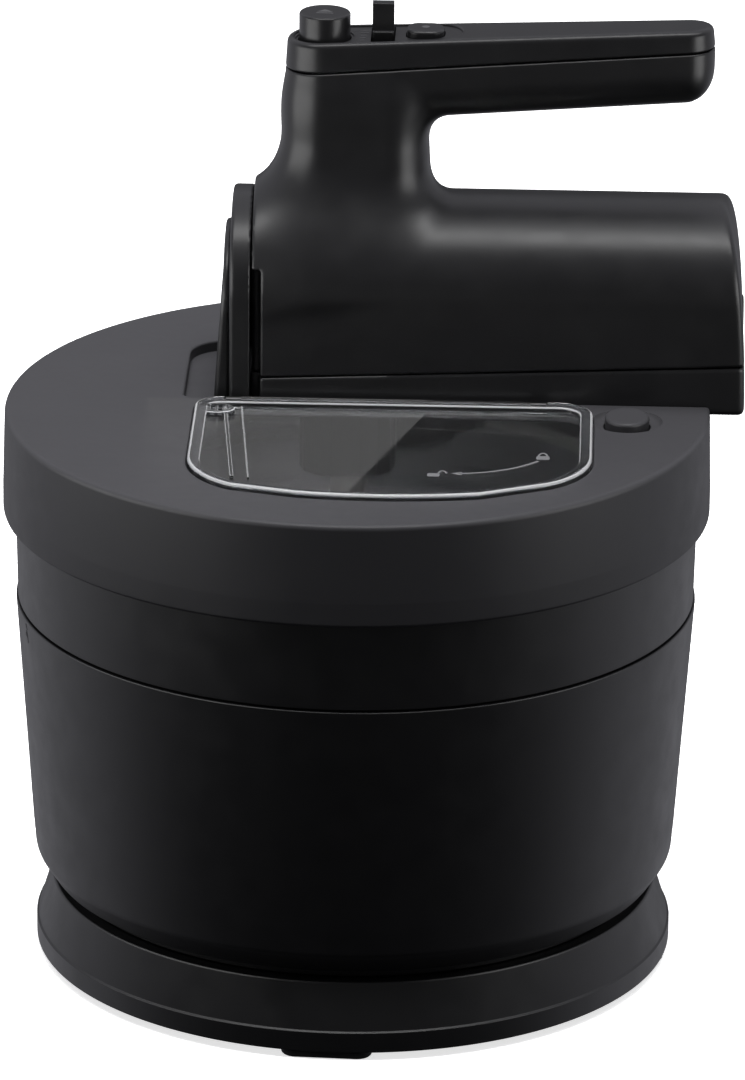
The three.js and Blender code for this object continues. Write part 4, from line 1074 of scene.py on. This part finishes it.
def button_mark(name, body, centre, top, shapes):
    """A faint mark on a button's flat top."""
    rows = [(top - 0.05, 0), (top + 0.08, 0)]
    parts = [slab(name, [(centre[0] + x, centre[1] + y) for x, y in shape], rows) for shape in shapes]
    return mark(name, parts, FAINT_MARK, body)


barrel_mark()
panel_marks()
button_mark("eject_mark", "eject", (EJECT_X, MIXER_Y), EJECT_TOP,
            [[(-3, -0.6), (3, -0.6), (0, 2.6)], rounded_rect(-3, -2.6, 3, -1.6, 0.2, 2)])
button_mark("turbo_mark", "turbo", (TURBO_X, MIXER_Y), TURBO_TOP, [ellipse(0, 0, 1.4, 1.4, 24)])


# ------------------------------------------------------------------ studio
def area_light(name, location, target, size, power):
    data = bpy.data.lights.new(name, "AREA")
    data.shape = "RECTANGLE"
    data.size, data.size_y = size
    data.energy = power
    lamp = bpy.data.objects.new(name, data)
    scene.collection.objects.link(lamp)
    lamp.location = location
    direction = Vector(target) - Vector(location)
    lamp.rotation_euler = direction.to_track_quat("-Z", "Y").to_euler()
    return lamp


ENVIRONMENT = (      # studio brightness by direction, from straight behind the object to straight in front
    (0.0, 0.10), (0.035, 0.12), (0.08, 0.50), (0.36, 0.62), (0.5, 0.5), (0.6, 0.28), (0.75, 0.10),
    (1.0, 0.035),
)
FRONT = Vector((0.0, -1.0, 0.0))


def surroundings():
    """White backdrop for the camera; for the object, a studio bright at the sides, dark in front."""
    world = bpy.data.worlds.new("studio")
    scene.world = world
    world.use_nodes = True
    nodes, links = world.node_tree.nodes, world.node_tree.links
    nodes.clear()
    coords = nodes.new("ShaderNodeTexCoord")
    facing = nodes.new("ShaderNodeVectorMath")
    facing.operation = "DOT_PRODUCT"
    facing.inputs[1].default_value = FRONT
    links.new(coords.outputs["Generated"], facing.inputs[0])
    share = ramp(nodes, links, facing.outputs["Value"], 0.0, 1.0, -1.0, 1.0)
    curve = nodes.new("ShaderNodeValToRGB")
    stops = curve.color_ramp.elements
    for _ in ENVIRONMENT[2:]:
        stops.new(0.5)
    for stop, (place, level) in zip(stops, ENVIRONMENT):
        stop.position = place
        stop.color = (level * 0.97, level * 0.97, level * 1.05, 1)
    links.new(share, curve.inputs["Fac"])
    fill = nodes.new("ShaderNodeBackground")
    links.new(curve.outputs["Color"], fill.inputs["Color"])
    height = nodes.new("ShaderNodeSeparateXYZ")
    links.new(coords.outputs["Generated"], height.inputs[0])
    links.new(ramp(nodes, links, height.outputs["Z"], 0.12, 1.0, -0.8, -0.45), fill.inputs["Strength"])
    seen = nodes.new("ShaderNodeBackground")
    seen.inputs["Color"].default_value = (1, 1, 1, 1)
    path = nodes.new("ShaderNodeLightPath")
    mix = nodes.new("ShaderNodeMixShader")
    links.new(path.outputs["Is Camera Ray"], mix.inputs[0])
    links.new(fill.outputs[0], mix.inputs[1])
    links.new(seen.outputs[0], mix.inputs[2])
    output = nodes.new("ShaderNodeOutputWorld")
    links.new(mix.outputs[0], output.inputs[0])


def emitter(name, corners, strength):
    """A softbox panel that only shows in reflections, and only from its front (corners anticlockwise)."""
    mesh = bpy.data.meshes.new(name)
    mesh.from_pydata([tuple(c * MM for c in corner) for corner in corners], [], [tuple(range(len(corners)))])
    material = bpy.data.materials.new(name)
    material.use_nodes = True
    nodes, links = material.node_tree.nodes, material.node_tree.links
    nodes.clear()
    glow = nodes.new("ShaderNodeEmission")
    glow.inputs["Strength"].default_value = strength
    through = nodes.new("ShaderNodeBsdfTransparent")
    geometry = nodes.new("ShaderNodeNewGeometry")
    mix = nodes.new("ShaderNodeMixShader")
    links.new(geometry.outputs["Backfacing"], mix.inputs[0])
    links.new(glow.outputs[0], mix.inputs[1])
    links.new(through.outputs[0], mix.inputs[2])
    output = nodes.new("ShaderNodeOutputMaterial")
    links.new(mix.outputs[0], output.inputs[0])
    mesh.materials.append(material)
    panel = bpy.data.objects.new(name, mesh)
    scene.collection.objects.link(panel)
    panel.visible_camera = False
    panel.visible_diffuse = False
    panel.visible_shadow = False
    panel.visible_transmission = False


def upright_panel(name, start, end, low, high, strength):
    """A panel standing on the line from start to end in plan, lit on its side towards the mixer."""
    emitter(name, [(*start, high), (*end, high), (*end, low), (*start, low)], strength)


def studio():
    surroundings()
    area_light("top_softbox", (0.0, -0.42, 1.5), (0, 0, 0.2), (1.7, 0.40), 12)
    # This small panel, just in front of the mixer, is what the left part of the feed door reflects.
    emitter("door_panel", [(-75, 5.2, 200.4), (27, 5.2, 200.4), (-3.5, 5.2, 234), (-75, 5.2, 234)], 0.33)
    upright_panel("left_panel", (-420, 0), (-200, -330), 150, 360, 3.2)
    upright_panel("right_panel", (300, -300), (400, -80), 150, 360, 3.6)
    upright_panel("front_panel", (-120, -500), (220, -500), 92, 165, 0.28)
    overhead = area_light("overhead", (0, 0, 1.9), (0, 0, 0), (0.9, 0.9), 60)
    overhead.visible_glossy = False


def floor():
    mesh = bpy.data.meshes.new("floor")
    reach = 6.0
    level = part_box("rubber_foot_1")[0].z
    corners = [(-reach, -reach, level), (reach, -reach, level), (reach, reach, level), (-reach, reach, level)]
    mesh.from_pydata(corners, [], [(0, 1, 2, 3)])
    material, _, _, shader = new_material("floor")
    shader.inputs["Base Color"].default_value = (0.9, 0.9, 0.9, 1)
    shader.inputs["Roughness"].default_value = 0.8
    shader.inputs["Specular IOR Level"].default_value = 0.1
    shader.inputs["Emission Color"].default_value = (1, 1, 1, 1)
    shader.inputs["Emission Strength"].default_value = 0.72
    mesh.materials.append(material)
    plane = bpy.data.objects.new("floor", mesh)
    scene.collection.objects.link(plane)
    plane.visible_glossy = False
    plane.visible_diffuse = False


studio()
floor()
scene.view_settings.view_transform = "Standard"
